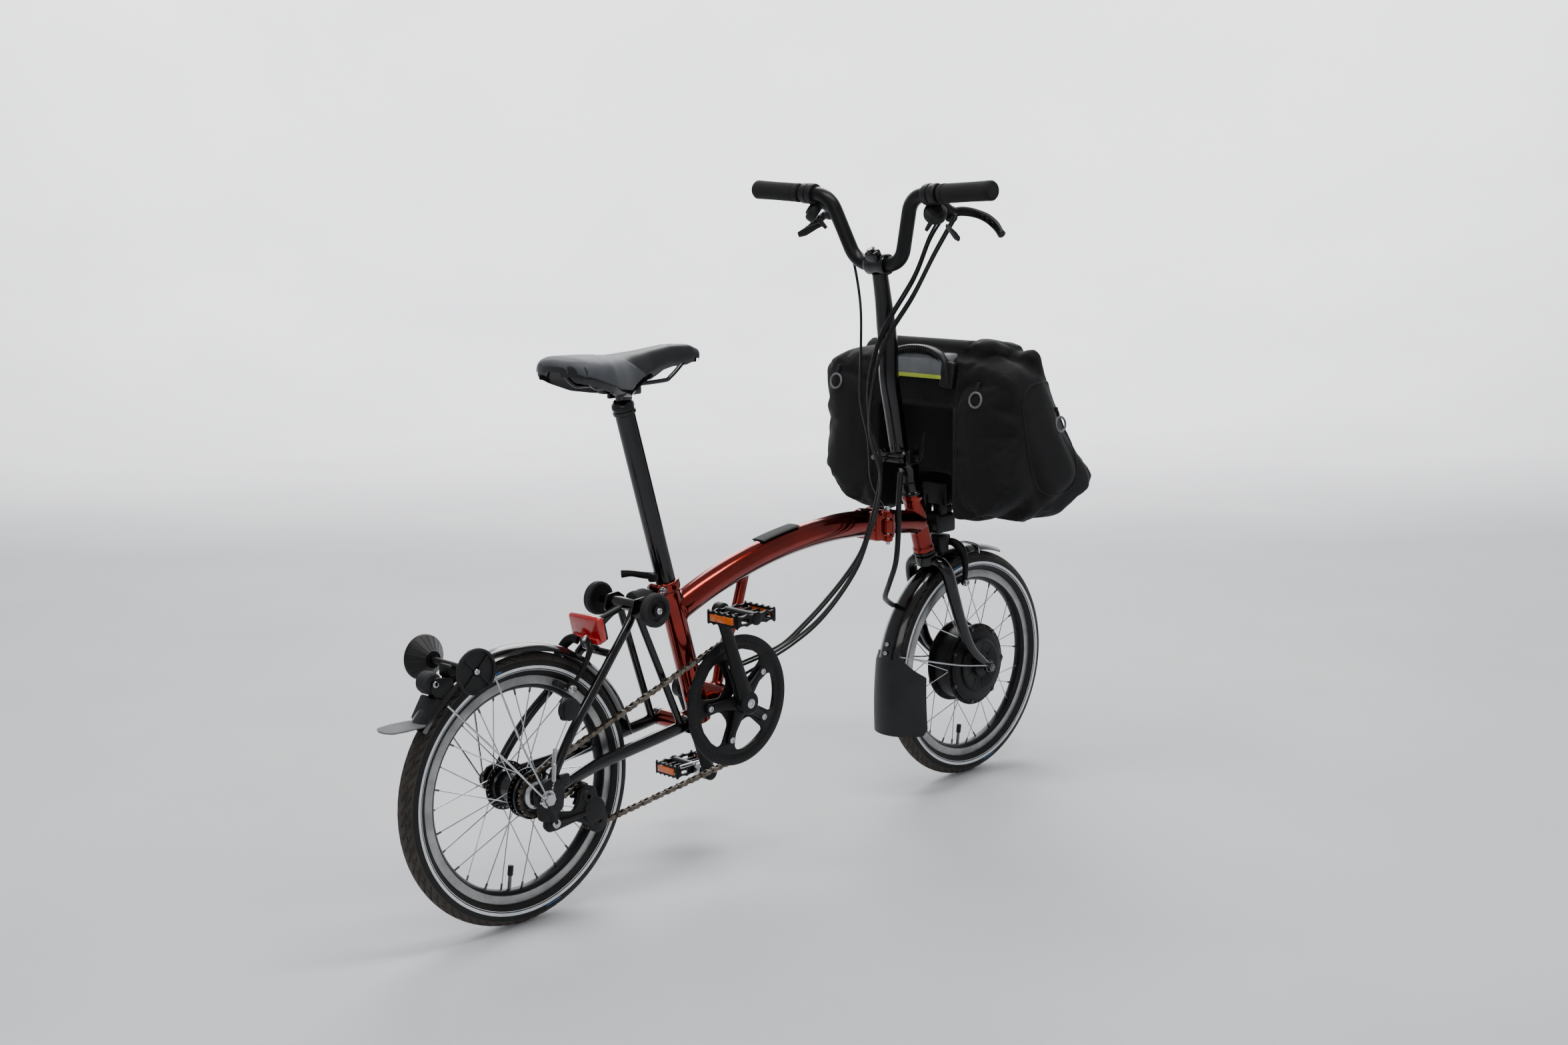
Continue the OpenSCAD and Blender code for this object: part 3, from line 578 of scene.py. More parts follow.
@dataclass
class Wheel:
    """One spoked wheel: tyre with tread, double-wall rim, spokes and valve. Sizes in millimetres."""

    centre: np.ndarray
    end: str
    hub_r: float
    hub_y: float
    section: float = 19.0
    stripe_r: float = 188.7
    groove: float = 2.0
    blocks: int = 69
    spokes: int = 28

    def part(self, shape: Shape, name: str, finish: Finish, slot: str, nodes: Sequence[str] = (),
            sharp: float = 35) -> None:
        """Makes a shape a piece of this wheel, in place of this wheel's named nodes."""
        shape.piece(f"{self.end}_{name}", finish, f"{self.end}_wheel", slot, [f"{self.end}_{n}" for n in nodes],
            sharp)

    def tread_depth(self, around: np.ndarray, across: np.ndarray) -> np.ndarray:
        """Returns how deep the chevron grooves are, for angles around the wheel and around the section."""
        pitch = 2 * math.pi / self.blocks
        lean = np.abs(across) * 0.15
        phase = (around + lean + np.where(across > 0, pitch / 2, 0)) / pitch % 1.0
        groove = (phase < 0.22
            + 0.1 * np.sin(3 * across) ** 2) & (np.abs(across) > 0.16) & (np.abs(across) < 1.0)
        rib = (np.abs(np.abs(across) - 0.56) < 0.035) & (phase > 0.6)
        return np.where(groove | rib, self.groove, 0.0)

    def tyre(self) -> None:
        """Builds the tyre, whose tread, walls and bands are separate pieces."""
        around = np.linspace(0, 2 * math.pi, 1104, endpoint=False)
        across = np.linspace(-1.12, 1.12, 41)
        a, s = np.meshgrid(around, across, indexing="ij")
        r = self.section - self.tread_depth(a, s)
        out = TYRE_R - self.section + r * np.cos(s)
        rows = np.stack([self.centre[0] + out * np.cos(a), r * np.sin(s), self.centre[2] + out * np.sin(a)],
            axis=2)
        self.part(Shape().grid(rows, round_rows=False, round_columns=True), "tread", TREAD, "tyre", ("tyre",),
            50)
        walls, middle = Shape(), TYRE_R - self.section
        for way in (1, -1):
            side = [(middle + self.section * math.cos(t), way * self.section * math.sin(t))
                for t in np.linspace(1.1, 2.62, 16)]
            inner = [(r_ - 1.5, y_ - way * 2.0) for r_, y_ in reversed(side)]
            walls.turned(self.centre, side + inner, sides=160, ring=True)
        self.part(walls, "tyre_walls", WALL, "tyre")
        bands, marks = Shape(), Shape()
        for way in (1, -1):
            for r0, r1 in ((self.stripe_r - 2.2, self.stripe_r + 2.2), (self.stripe_r - 4.6, self.stripe_r
                    - 3.9)):
                bands.turned(self.centre, self.on_wall(r0, r1, way, 0.25), sides=160, ring=True)
            for start in (100, 280):
                marks.add(*self.arc_mark(start, 9, way))
        self.part(bands, "reflective_bands", REFLECTIVE, "tyre")
        self.part(marks, "blue_marks", BLUE_MARK, "tyre")

    def wall_y(self, r: float) -> float:
        """Returns the tyre's half width at a radius from the axle."""
        return math.sqrt(max(self.section ** 2 - (r - TYRE_R + self.section) ** 2, 0))

    def on_wall(self, r0: float, r1: float, way: int, proud: float) -> list[tuple[float, float]]:
        """Returns a thin band's profile lying on the wall between two radii."""
        radii = [r0, (r0 + r1) / 2, r1]
        return [(r, way * (self.wall_y(r) + proud)) for r in radii] + [(r, way * (self.wall_y(r) - 0.6))
            for r in radii[::-1]]

    def arc_mark(self, start: float, sweep: float, way: int) -> tuple[np.ndarray, list[tuple[int, ...]]]:
        """Returns the points and faces of a short coloured arc outside the band."""
        r0, r1 = self.stripe_r + 4.0, self.stripe_r + 6.0
        turns = np.linspace(start, start + sweep, 12)
        points = [on_ring(self.centre, r, t, way * (self.wall_y(r) + 0.3)) for t in turns for r in (r0, r1)]
        return np.array(points), [(2 * i, 2 * i + 1, 2 * i + 3, 2 * i + 2) for i in range(11)]

    def rim(self) -> None:
        """Builds the rim's black body, its bright brake tracks, the spokes, nipples and valve."""
        track, body = Shape(), Shape()
        for way in (1, -1):
            track.turned(self.centre, [(161.5, way * 11.2), (162.2, way * 12), (174, way * 12),
                (175, way * 11.4), (175, way * 9.8), (161.5, way * 9.8)], sides=160, ring=True)
        body.turned(self.centre, [(174, 10), (164, 10), (164, 11.3), (160.5, 11.3), (156.5, 8), (154.8, 4),
            (154.4, 0), (154.8, -4), (156.5, -8), (160.5, -11.3), (164, -11.3), (164, -10), (174, -10),
            (170, 0)], sides=160, ring=True)
        self.part(track, "brake_tracks", TRACK, "rim", ("rim",))
        self.part(body, "rim_body", RIM_BLACK, "rim")
        wires, nipples = Shape(), Shape()
        for i in range(self.spokes):
            way = 1 if i % 2 == 0 else -1
            lean = (1 if i // 2 % 2 == 0 else -1) * (26 if self.end == "rear" else 13)
            a = 360 * i / self.spokes
            foot, top = on_ring(self.centre, self.hub_r, a + lean, way * self.hub_y), on_ring(self.centre, 156,
                a, way * 2.5)
            wires.rod(foot, top, 0.95, sides=8, edge=0.1)
            nipples.rod(top + unit(foot - top) * 10, top, 1.7, sides=8)
        self.part(wires, "spokes", STEEL, "rim")
        valve = on_ring(self.centre, 155, 262)
        nipples.rod(valve, on_ring(self.centre, 122, 262), 2.9, sides=16)
        self.part(nipples, "nipples", DARK_STEEL, "rim")
        cap = Shape().rod(on_ring(self.centre, 134, 262), on_ring(self.centre, 118, 262), 4.4, sides=16)
        self.part(cap, "valve_cap", NYLON, "rim")

    def build(self) -> None:
        """Builds the wheel."""
        self.tyre()
        self.rim()


def flange(shape: Shape, centre: Point, r: float, y: float, thick: float, holes: int) -> None:
    """Adds a drilled spoke flange to a hub."""
    drilled = [circle(centre[0] + (r - 3.4) * math.cos(2 * math.pi * k / holes), centre[2]
        + (r - 3.4) * math.sin(2 * math.pi * k / holes), 1.4, 8) for k in range(holes)]
    shape.plate(circle(centre[0], centre[2], r, 56), y - thick / 2, y + thick / 2, drilled, edge=0.4)


@dataclass
class Hubs:
    """The geared rear hub and the front hub with its motor."""

    rear_flange_r: float = 38.0
    motor_r: float = 68.0
    lobes: int = 7

    def rear(self) -> None:
        """Builds the rear hub's barrel, flanges and the dark disc behind the sprocket."""
        hub = Shape().turned(REAR, [(8, -36), (27, -35), (29, -31), (29, -27), (25, -22), (24.5, 22), (29, 27),
            (29, 31), (27, 35), (8, 36)])
        for y in (-26, 26):
            flange(hub, REAR, self.rear_flange_r, y, 3, 28)
        hub.turned(REAR, [(12, 35), (20, 36), (20, 44), (17, 47), (8, 48)])
        hub.turned(REAR, [(10, -43.5), (37, -43), (38, -42), (38, -40.5), (10, -36)])
        hub.piece("rear_hub_shell", POWDER, "rear_wheel", "satin_black", ["rear_hub"])

    def lobed(self) -> list[tuple[float, float]]:
        """Returns the motor cover's outline: a circle with a rounded ear at each screw."""
        points = []
        for k in range(210):
            a = 2 * math.pi * k / 210
            ear = max(0.0, math.cos(self.lobes * a)) ** 6
            r = self.motor_r + 2.5 + 4.5 * ear
            points.append((FRONT[0] + r * math.cos(a), FRONT[2] + r * math.sin(a)))
        return points

    def front(self) -> None:
        """Builds the hub motor: drum, lobed cover, ribs, screws and spoke flanges."""
        drum = Shape().turned(FRONT, [(20, -34), (60, -33.5), (66, -31), (68, -27), (68, 27), (66, 31),
            (60, 33.5), (20, 34)], sides=96)
        for y in (-24, 24):
            flange(drum, FRONT, 76, y, 3.4, 28)
        drum.plate(self.lobed(), -30.5, -20.5, edge=1.2).plate(self.lobed(), 20.5, 30.5, edge=1.2)
        for way in (1, -1):
            drum.turned(FRONT, [(49, 33), (50, 36.5), (47, 38.8), (30, 38.8), (27, 37.4), (21, 37.4),
                (20, 42.5), (9, 42.8)], (0, way, 0), 72)
            for k in range(9):
                drum.block(on_ring(FRONT, 34, 40 * k, way * 38.6), (17, 1.4, 2.2), 0.5, (0, -40 * k, 0))
        drum.piece("motor_drum", BLASTED, "front_wheel", "satin_black", ["motor_hub"])
        screws = Shape()
        for k in range(self.lobes):
            for way in (1, -1):
                bolt(screws, on_ring(FRONT, self.motor_r + 1.5, 360 * k / self.lobes, way * 30.4), (0, way, 0),
                    3, 2.2)
        screws.piece("motor_cover_screws", DARK_STEEL, "front_wheel", "satin_black")

    def build(self) -> None:
        """Builds both hubs."""
        self.rear()
        self.front()


# ---- frame ----

@dataclass
class MainFrame:
    """The lacquered frame: arched main tube, seat tube, strut, bottom bracket, and the two halves of the main hinge."""

    tube_r: float = 22.5
    arch_r: float = 880.0
    arch_x: float = 700.0
    arch_top: float = 513.0
    seat_low: tuple = (375.8, 0, 240)
    seat_high: tuple = (309.4, 0, 481)
    seat_r: float = 18.5
    head_low: tuple = (930.5, 0, 440)
    head_lean: float = 17.0
    head_len: float = 113.0
    fold: tuple = (318, 0, 250)
    voxel: float = 1.7

    def arch(self, start: float, end: float, parts: int = 40) -> list[np.ndarray]:
        """Returns points along the main tube between two angles of its arch."""
        angles = np.radians(np.linspace(start, end, parts))
        return [np.array([self.arch_x + self.arch_r * math.sin(a), 0, self.arch_top
            - self.arch_r * (1 - math.cos(a))]) for a in angles]

    def steer(self, t: float) -> np.ndarray:
        """Returns the point t up the steering axis from the head tube's foot."""
        a = math.radians(self.head_lean)
        return np.array(self.head_low) + t * np.array([-math.sin(a), 0, math.cos(a)])

    @staticmethod
    def brazed(shape: Shape, name: str, voxel: float) -> bpy.types.Mesh:
        """Melts a shape's solids into one skin whose joints have small brazed fillets.

        Args:
            shape: the overlapping solids.
            name: the mesh's name.
            voxel: the grain of the skin in millimetres.
        Returns:
            The joined mesh.
        """
        rough = bpy.data.objects.new(name + "_rough", shape.mesh(name + "_rough"))
        bpy.context.scene.collection.objects.link(rough)
        melt = rough.modifiers.new("melt", "REMESH")
        melt.mode, melt.voxel_size, melt.use_smooth_shade = "VOXEL", voxel / 1000, True
        soften = rough.modifiers.new("soften", "SMOOTH")
        soften.factor, soften.iterations = 0.5, 9
        done = bpy.data.meshes.new_from_object(rough.evaluated_get(bpy.context.evaluated_depsgraph_get()))
        done.name = name
        bpy.data.objects.remove(rough)
        return done

    def lacquered(self, shape: Shape, name: str, body: str, node: str) -> None:
        """Makes a brazed piece in lacquer in place of a CAD node."""
        made = bpy.data.objects.new(name, self.brazed(shape, name, self.voxel))
        bpy.context.scene.collection.objects.link(made)
        settle(made, LACQUER, body, [node])

    def back_half(self) -> None:
        """Builds everything behind the main hinge."""
        low, high = np.array(self.seat_low), np.array(self.seat_high)
        axis = unit(high - low)
        back = Shape().rod(low - 2 * axis, high, self.seat_r, sides=64).rod(high - 14 * axis, high + 1.5 * axis,
            21.5, sides=64)
        back.tube(self.arch(-24.8, 5.5), self.tube_r + 0.6, 64)
        strut = self.arch(-14, -14, 1)[0]
        back.tube(curve_through([strut, (459, 0, 402), (430, 0, 345), (414, 0, 284)], 6), 9.5, 32)
        back.rod(CRANK + [0, -34, 0], CRANK + [0, 34, 0], 20.5, sides=64)
        back.rod((self.fold[0], -28, self.fold[2]), (self.fold[0], 28, self.fold[2]), 14.5, sides=48)
        back.tube([(330, 0, 250), (362, 0, 252), (395, 0, 262)], 11.5, 32, flat=0.9)
        back.block((293, 0, 472), (24, 26, 16), 4)
        back.block((784, -1, 506), (24, 60, 53), 7)
        for z in (485, 527):
            back.rod((797, -33, z - 7), (797, -33, z + 6.5), 9, sides=32)
        self.lacquered(back, "main_frame_skin", "main_frame", "main_frame")

    def front_half(self) -> None:
        """Builds the piece between the main hinge and the steering."""
        front = Shape().tube([(810, 0, 506), (850, 0, 502), (885, 0, 497), (915, 0, 492)], [21.6, 21.6, 21, 20],
            64)
        front.rod(self.steer(0), self.steer(self.head_len), 18.5, sides=64)
        front.rod(self.steer(-1), self.steer(9), 20.5, sides=64).rod(self.steer(self.head_len - 9),
            self.steer(self.head_len + 1), 20.5, sides=64)
        front.block((810.5, -1, 506), (24, 60, 53), 7)
        front.rod((797, -33, 493.5), (797, -33, 518.5), 9, sides=32)
        self.lacquered(front, "front_frame_skin", "front_frame", "front_frame")

    def fittings(self) -> None:
        """Builds the tube's rubber rest, headset, hinge pin, clamp and the small hardware on the main frame."""
        rest = Shape()
        path = [p + np.array([0, 0, self.tube_r + 0.9]) for p in self.arch(-12.2, -6.6, 16)]
        for k, p in enumerate(path[:-1]):
            rest.block((p + path[k + 1]) / 2, (4.4, 26, 3.4), 1.0, (0, -math.degrees(math.atan2(*(path[k + 1]
                - p)[[2, 0]])), 0))
        rest.tube(path, 14.5, 24, flat=0.16)
        rest.piece("main_tube_rubber_rest", RUBBER, "main_frame", "rubber")
        steel = Shape().rod((797, -33, 473), (797, -33, 539), 4).turned((797, -33, 536),
            [(6.5, 0), (6.5, 3), (4, 5)], (0, 0, 1))
        steel.rod((289, -17, 471), (289, 17, 471), 5.5).rod((289, -22, 471), (289, -17, 471), 4)
        for way in (1, -1):
            steel.turned(CRANK, [(18.5, 34.2), (18.5, 37), (15, 38.4), (9, 38.6)], (0, way, 0))
        steel.piece("frame_bolts", STEEL, "main_frame", "steel", ["frame_hardware"])
        rings = Shape()
        axis = unit(self.steer(1) - self.steer(0))
        for t, way in ((-0.5, -1), (self.head_len + 0.5, 1)):
            rings.turned(self.steer(t), [(20.5, 0), (21, 2.5), (19.5, 3.5), (20, 5), (18, 6.6), (13, 6.8)],
                axis * way)
        rings.piece("headset_cups", POWDER, "front_frame", "black_paint", ["headset"])
        clamp = Shape().plate(outline_of([(784, 487), (811, 487), (815, 506), (811, 525), (784, 525),
            (780, 506)], 6), 31.5, 38, edge=1.4)
        clamp.rod((797, 38, 506), (797, 57, 506), 7).tube(curve_through([(797, 55, 506), (782, 58, 506),
            (760, 61, 502), (742, 62, 500)], 3), [6, 5.5, 5, 6], 20, flat=0.7)
        clamp.piece("main_hinge_clamp", ANODISED, "hinge_clamp", "satin_black", ["hinge_clamp"])
        block = Shape().block((966, 0, 486), (50, 48, 34), 5).block((981, 0, 500), (18, 34, 34), 4)
        block.block((963, 0, 539), (12, 58, 40), 3).block((944, 0, 482), (22, 40, 12), 3)
        for y in (-18, 18):
            block.block((962, y, 516), (16, 6, 40), 2)
        block.piece("bag_carrier_block", NYLON, "front_frame", "black_plastic", ["carrier_block"])

    def build(self) -> None:
        """Builds the frame."""
        self.back_half()
        self.front_half()
        self.fittings()


@dataclass
class RearFrame:
    """The swinging rear frame with its rollers, spring block, brake, mudguard and light."""

    fold: tuple = (318, 0, 250)
    top: tuple = (226, 0, 457)
    tail: tuple = (-112, 0, 424)
    small: tuple = (-150, 0, 404)

    def tubes(self) -> None:
        """Builds the chainstays, seat stays, braces, drop-outs and the roller bracket."""
        side = Shape().rod((318, 28.8, 250), (318, 42, 250), 14)
        side.tube(curve_through([(316, 35, 250), (260, 35.5, 243), (150, 37, 230), (95, 44, 223), (40, 58, 216),
            (14, 64, 212)], 7), [10, 10.5, 10.5, 9.5, 8], 28, flat=0.86, up=(0, 0, 1))
        side.tube(curve_through([(12, 64, 222), (34, 61, 256), (70, 54, 300), (115, 45, 343), (160, 37, 388),
            (204, 29, 432), (228, 16, 454)], 7), [7, 7.5, 7.5, 7, 7], 24)
        side.rod((303, 35.3, 250), (226.5, 19, 456), 6, sides=24)
        side.plate(outline_of([(-15, 196), (12, 196), (24, 205), (26, 224), (10, 236), (-6, 232), (-16, 220)],
            7), 61, 67, edge=1)
        side.rod((226, 10, 457), (226, 76, 457), 6)
        side.both_sides()
        side.rod((166, -35, 393), (166, 35, 393), 6.5).tube([(166, 0, 395), (152, 0, 404), (141, 0, 408)], 5.5)
        side.rod((226, -30, 457), (226, 30, 457), 10)
        wing = outline_of([(206, 446), (222, 440), (246, 447), (250, 462), (236, 472), (214, 470)], 6)
        side.plate(wing, -34, -30, edge=1).plate(wing, 30, 34, edge=1)
        side.piece("rear_frame_tubes", POWDER, "rear_frame", "black_paint", ["rear_frame"])
        spring = Shape().turned((237, 0, 458), [(11, -2), (16, 1), (17, 8), (15.5, 14), (17, 20), (16, 28),
            (12.5, 34), (11, 40), (6, 41)], (1, 0, 0.08))
        spring.piece("elastomer_spring", RUBBER, "rear_frame", "rubber", ["suspension_block"])

    def rollers(self) -> None:
        """Builds the five rollers, each in its tread and hub."""
        for name, way in (("left", 1), ("right", -1)):
            axis = (0, way, 0)
            spot = np.array(self.top) + [0, 60 * way, 0]
            Shape().turned(spot, [(20, 1.5), (24, 0.8), (26.5, 3), (27, 8), (26.5, 13), (24, 15.2), (20, 14.5)],
                axis, 64, True).piece(f"top_roller_tread_{name}", RUBBER, f"top_roller_{name}", "rubber",
                [f"top_roller_{name}"])
            hub = Shape().turned(spot, [(6, 0), (21, 1), (21, 15), (17, 15.5), (15, 12), (9, 12), (8.5, 15.8),
                (6, 16)], axis, ring=True)
            hub.piece(f"top_roller_hub_{name}", NYLON, f"top_roller_{name}", "black_plastic")
            cone_spot = np.array(self.tail)
            cone = Shape().turned(cone_spot, [(6, 40), (13, 40), (14, 42), (33, 61), (34.3, 63), (34.3, 66),
                (33, 67), (30, 66.5), (29, 64), (6, 64)], axis, 72, True)
            for k in range(18):
                a = 20 * k
                cone.rod(on_ring(cone_spot, 13.5, a, way * 42), on_ring(cone_spot, 33, a, way * 61.5), 0.9,
                    sides=8)
            for k in range(4):
                cone.block(on_ring(cone_spot, 18, 90 * k + 45, way * 65), (24, 2.4, 3), 0.8,
                    (0, -90 * k - 45, 0))
            cone.piece(f"cone_roller_{name}_moulding", NYLON, f"cone_roller_{name}", "black_plastic",
                [f"cone_roller_{name}"])
        Shape().turned(self.small, [(3.8, -11.5), (13, -12), (16, -9), (17, 0), (16, 9), (13, 12), (3.8, 11.5)],
            sides=48, ring=True).piece("tail_roller_tread", RUBBER, "guard_roller", "rubber", ["guard_roller"])

    def hardware(self) -> None:
        """Builds the axle, nuts, pivot pins, roller screws, pulley and indicator chain."""
        steel = Shape().rod(REAR + [0, -84, 0], REAR + [0, 84, 0], 5)
        for way in (1, -1):
            steel.turned(REAR, [(12.5, 75), (13.5, 75.6), (13.5, 76.6), (10, 77.2)], (0, way, 0))
            steel.turned(REAR, [(10.4, 77), (10.4, 82), (9.2, 84), (5, 84.2)], (0, way, 0), 6)
            bolt(steel, np.array(self.fold) + [0, 42 * way, 0], (0, way, 0), 7, 4)
            bolt(steel, np.array(self.top) + [0, 76 * way, 0], (0, way, 0), 5.5, 4)
            bolt(steel, np.array(self.tail) + [0, 65 * way, 0], (0, way, 0), 4.5, 3)
            bolt(steel, np.array(self.small) + [0, 17 * way, 0], (0, way, 0), 5, 3)
        steel.rod((-14, -77, 208), (-14, -83, 208), 3).rod((8, -80, 236), (12, -78, 262), 3.6)
        steel.rod((10, -78, 254), (17, -75, 284), 3.3).rod((15, -75, 278), (48, -70, 324),
            1.0).rod((15, -77, 168), (15, -70, 168), 7)
        for k in range(9):
            steel.turned(np.array([1 + 0.9 * k, -82 + 0.3 * k, 214 + 2.6 * k]),
                [(0.9, -1.4), (1.3, 0), (0.9, 1.4)], (1, 0, 0.3) if k % 2 else (0, 1, 0), 10)
        steel.piece("rear_axle_and_bolts", STEEL, "rear_frame", "steel", ["rear_hardware"])
        pulley = Shape().turned((52, -66, 335), [(4, -5), (15, -5), (17.5, -3.5), (15.5, 0), (17.5, 3.5),
            (15, 5), (4, 5)])
        pulley.plate(outline_of([(38, 322), (60, 318), (72, 338), (58, 354), (40, 348)], 9), -73, -70.5,
            edge=0.8)
        pulley.plate(outline_of([(40, 318), (56, 316), (64, 330), (56, 344), (46, 340)], 6), -62, -56, edge=1)
        pulley.piece("gear_cable_pulley", NYLON, "rear_frame", "black_plastic")

    def guard_section(self, half: float, r: float) -> list[tuple[float, float]]:
        """Returns a mudguard's cross-section: a shallow arch with rolled edges."""
        outer = [(r - 9.5 * abs(t) ** 2.6, half * t) for t in np.linspace(-1, 1, 19)]
        inner = [(q - 2.0, y * 0.94) for q, y in reversed(outer)]
        return outer + inner

    def mudguard(self) -> None:
        """Builds the rear mudguard, its stays, bridge plate, roller brackets and tail flap."""
        guard = Shape()
        section = self.guard_section(24, 224.5)
        rows = np.array([[on_ring(REAR, r, a, y) for r, y in section] for a in np.linspace(12, 144, 100)])
        guard.grid(rows)
        guard.piece("rear_mudguard_shell", GLOSS, "rear_frame", "gloss_plastic", ["rear_mudguard"])
        brackets = Shape().rod((-112, -62, 424), (-112, 62, 424), 5)
        brackets.block((-113, 0, 416), (20, 28, 20), 4).block((-106, 0, 404), (30, 22, 14), 4)
        for y in (-16.5, 16.5):
            brackets.plate(outline_of([(-158, 398), (-150, 414), (-120, 408), (-118, 396), (-138, 380),
                (-152, 386)], 6), y - 2, y + 2, edge=0.8)
        brackets.plate(outline_of([(-170, 352), (-150, 384), (-138, 378), (-160, 340)], 4), -20, 20, edge=1)
        brackets.piece("roller_brackets", NYLON, "rear_frame", "gloss_plastic")
        flap = outline_of([(-168, -20), (-205, -24), (-228, -20), (-235, -6), (-235, 6), (-228, 20), (-205, 24),
            (-168, 20)], 8)
        lay = Matrix.Translation((0, 0, 347.5)) @ Matrix(((1, 0, 0, 0), (0, 0, 1, 0), (0, -1, 0, 0),
            (0, 0, 0, 1)))
        spoon = Shape().plate([(x, z) for x, z in flap], -1.3, 1.3, edge=0.6, place=lay)
        spoon.piece("rear_tail_flap", GREY_FLAP, "rear_frame", "gloss_plastic")
        wires = Shape()
        for way in (1, -1):
            wires.tube(curve_through([(-4, 79 * way, 214), (-30, 54 * way, 300), (-58, 28 * way, 412),
                (-60, 10 * way, 430)], 6), 1.6, 10)
            wires.tube(curve_through([(-8, 79 * way, 212), (-70, 54 * way, 290), (-138, 28 * way, 372)], 6),
                1.6, 10)
            bolt(wires, (-60, 14 * way, 431), (0, 0, 1), 3.6, 3)
        wires.tube(curve_through([(-58, -25, 420), (-62, -18, 430), (-62, 18, 430), (-58, 25, 420)], 3), 3.4,
            12, flat=0.35)
        wires.piece("rear_mudguard_stays", STEEL, "rear_frame", "steel")

    def light(self) -> None:
        """Builds the red light box and its bracket."""
        lens = Shape().block((147, 0, 434), (14, 74, 42), 6, (0, -12, 0)).block((144, 0, 416), (12, 66, 10), 3)
        lens.piece("rear_light_lens", RED_LENS, "rear_frame", "reflector", ["rear_light"])
        back = Shape().block((153.5, 0, 434), (7, 70, 36), 3, (0, -12, 0)).tube([(156, 0, 438), (180, 0, 444),
            (212, 0, 452)], 5)
        back.piece("rear_light_bracket", NYLON, "rear_frame", "black_plastic")

    def build(self) -> None:
        """Builds the rear frame and all that it carries."""
        self.tubes()
        self.rollers()
        self.hardware()
        self.mudguard()
        self.light()


# ---- drive ----

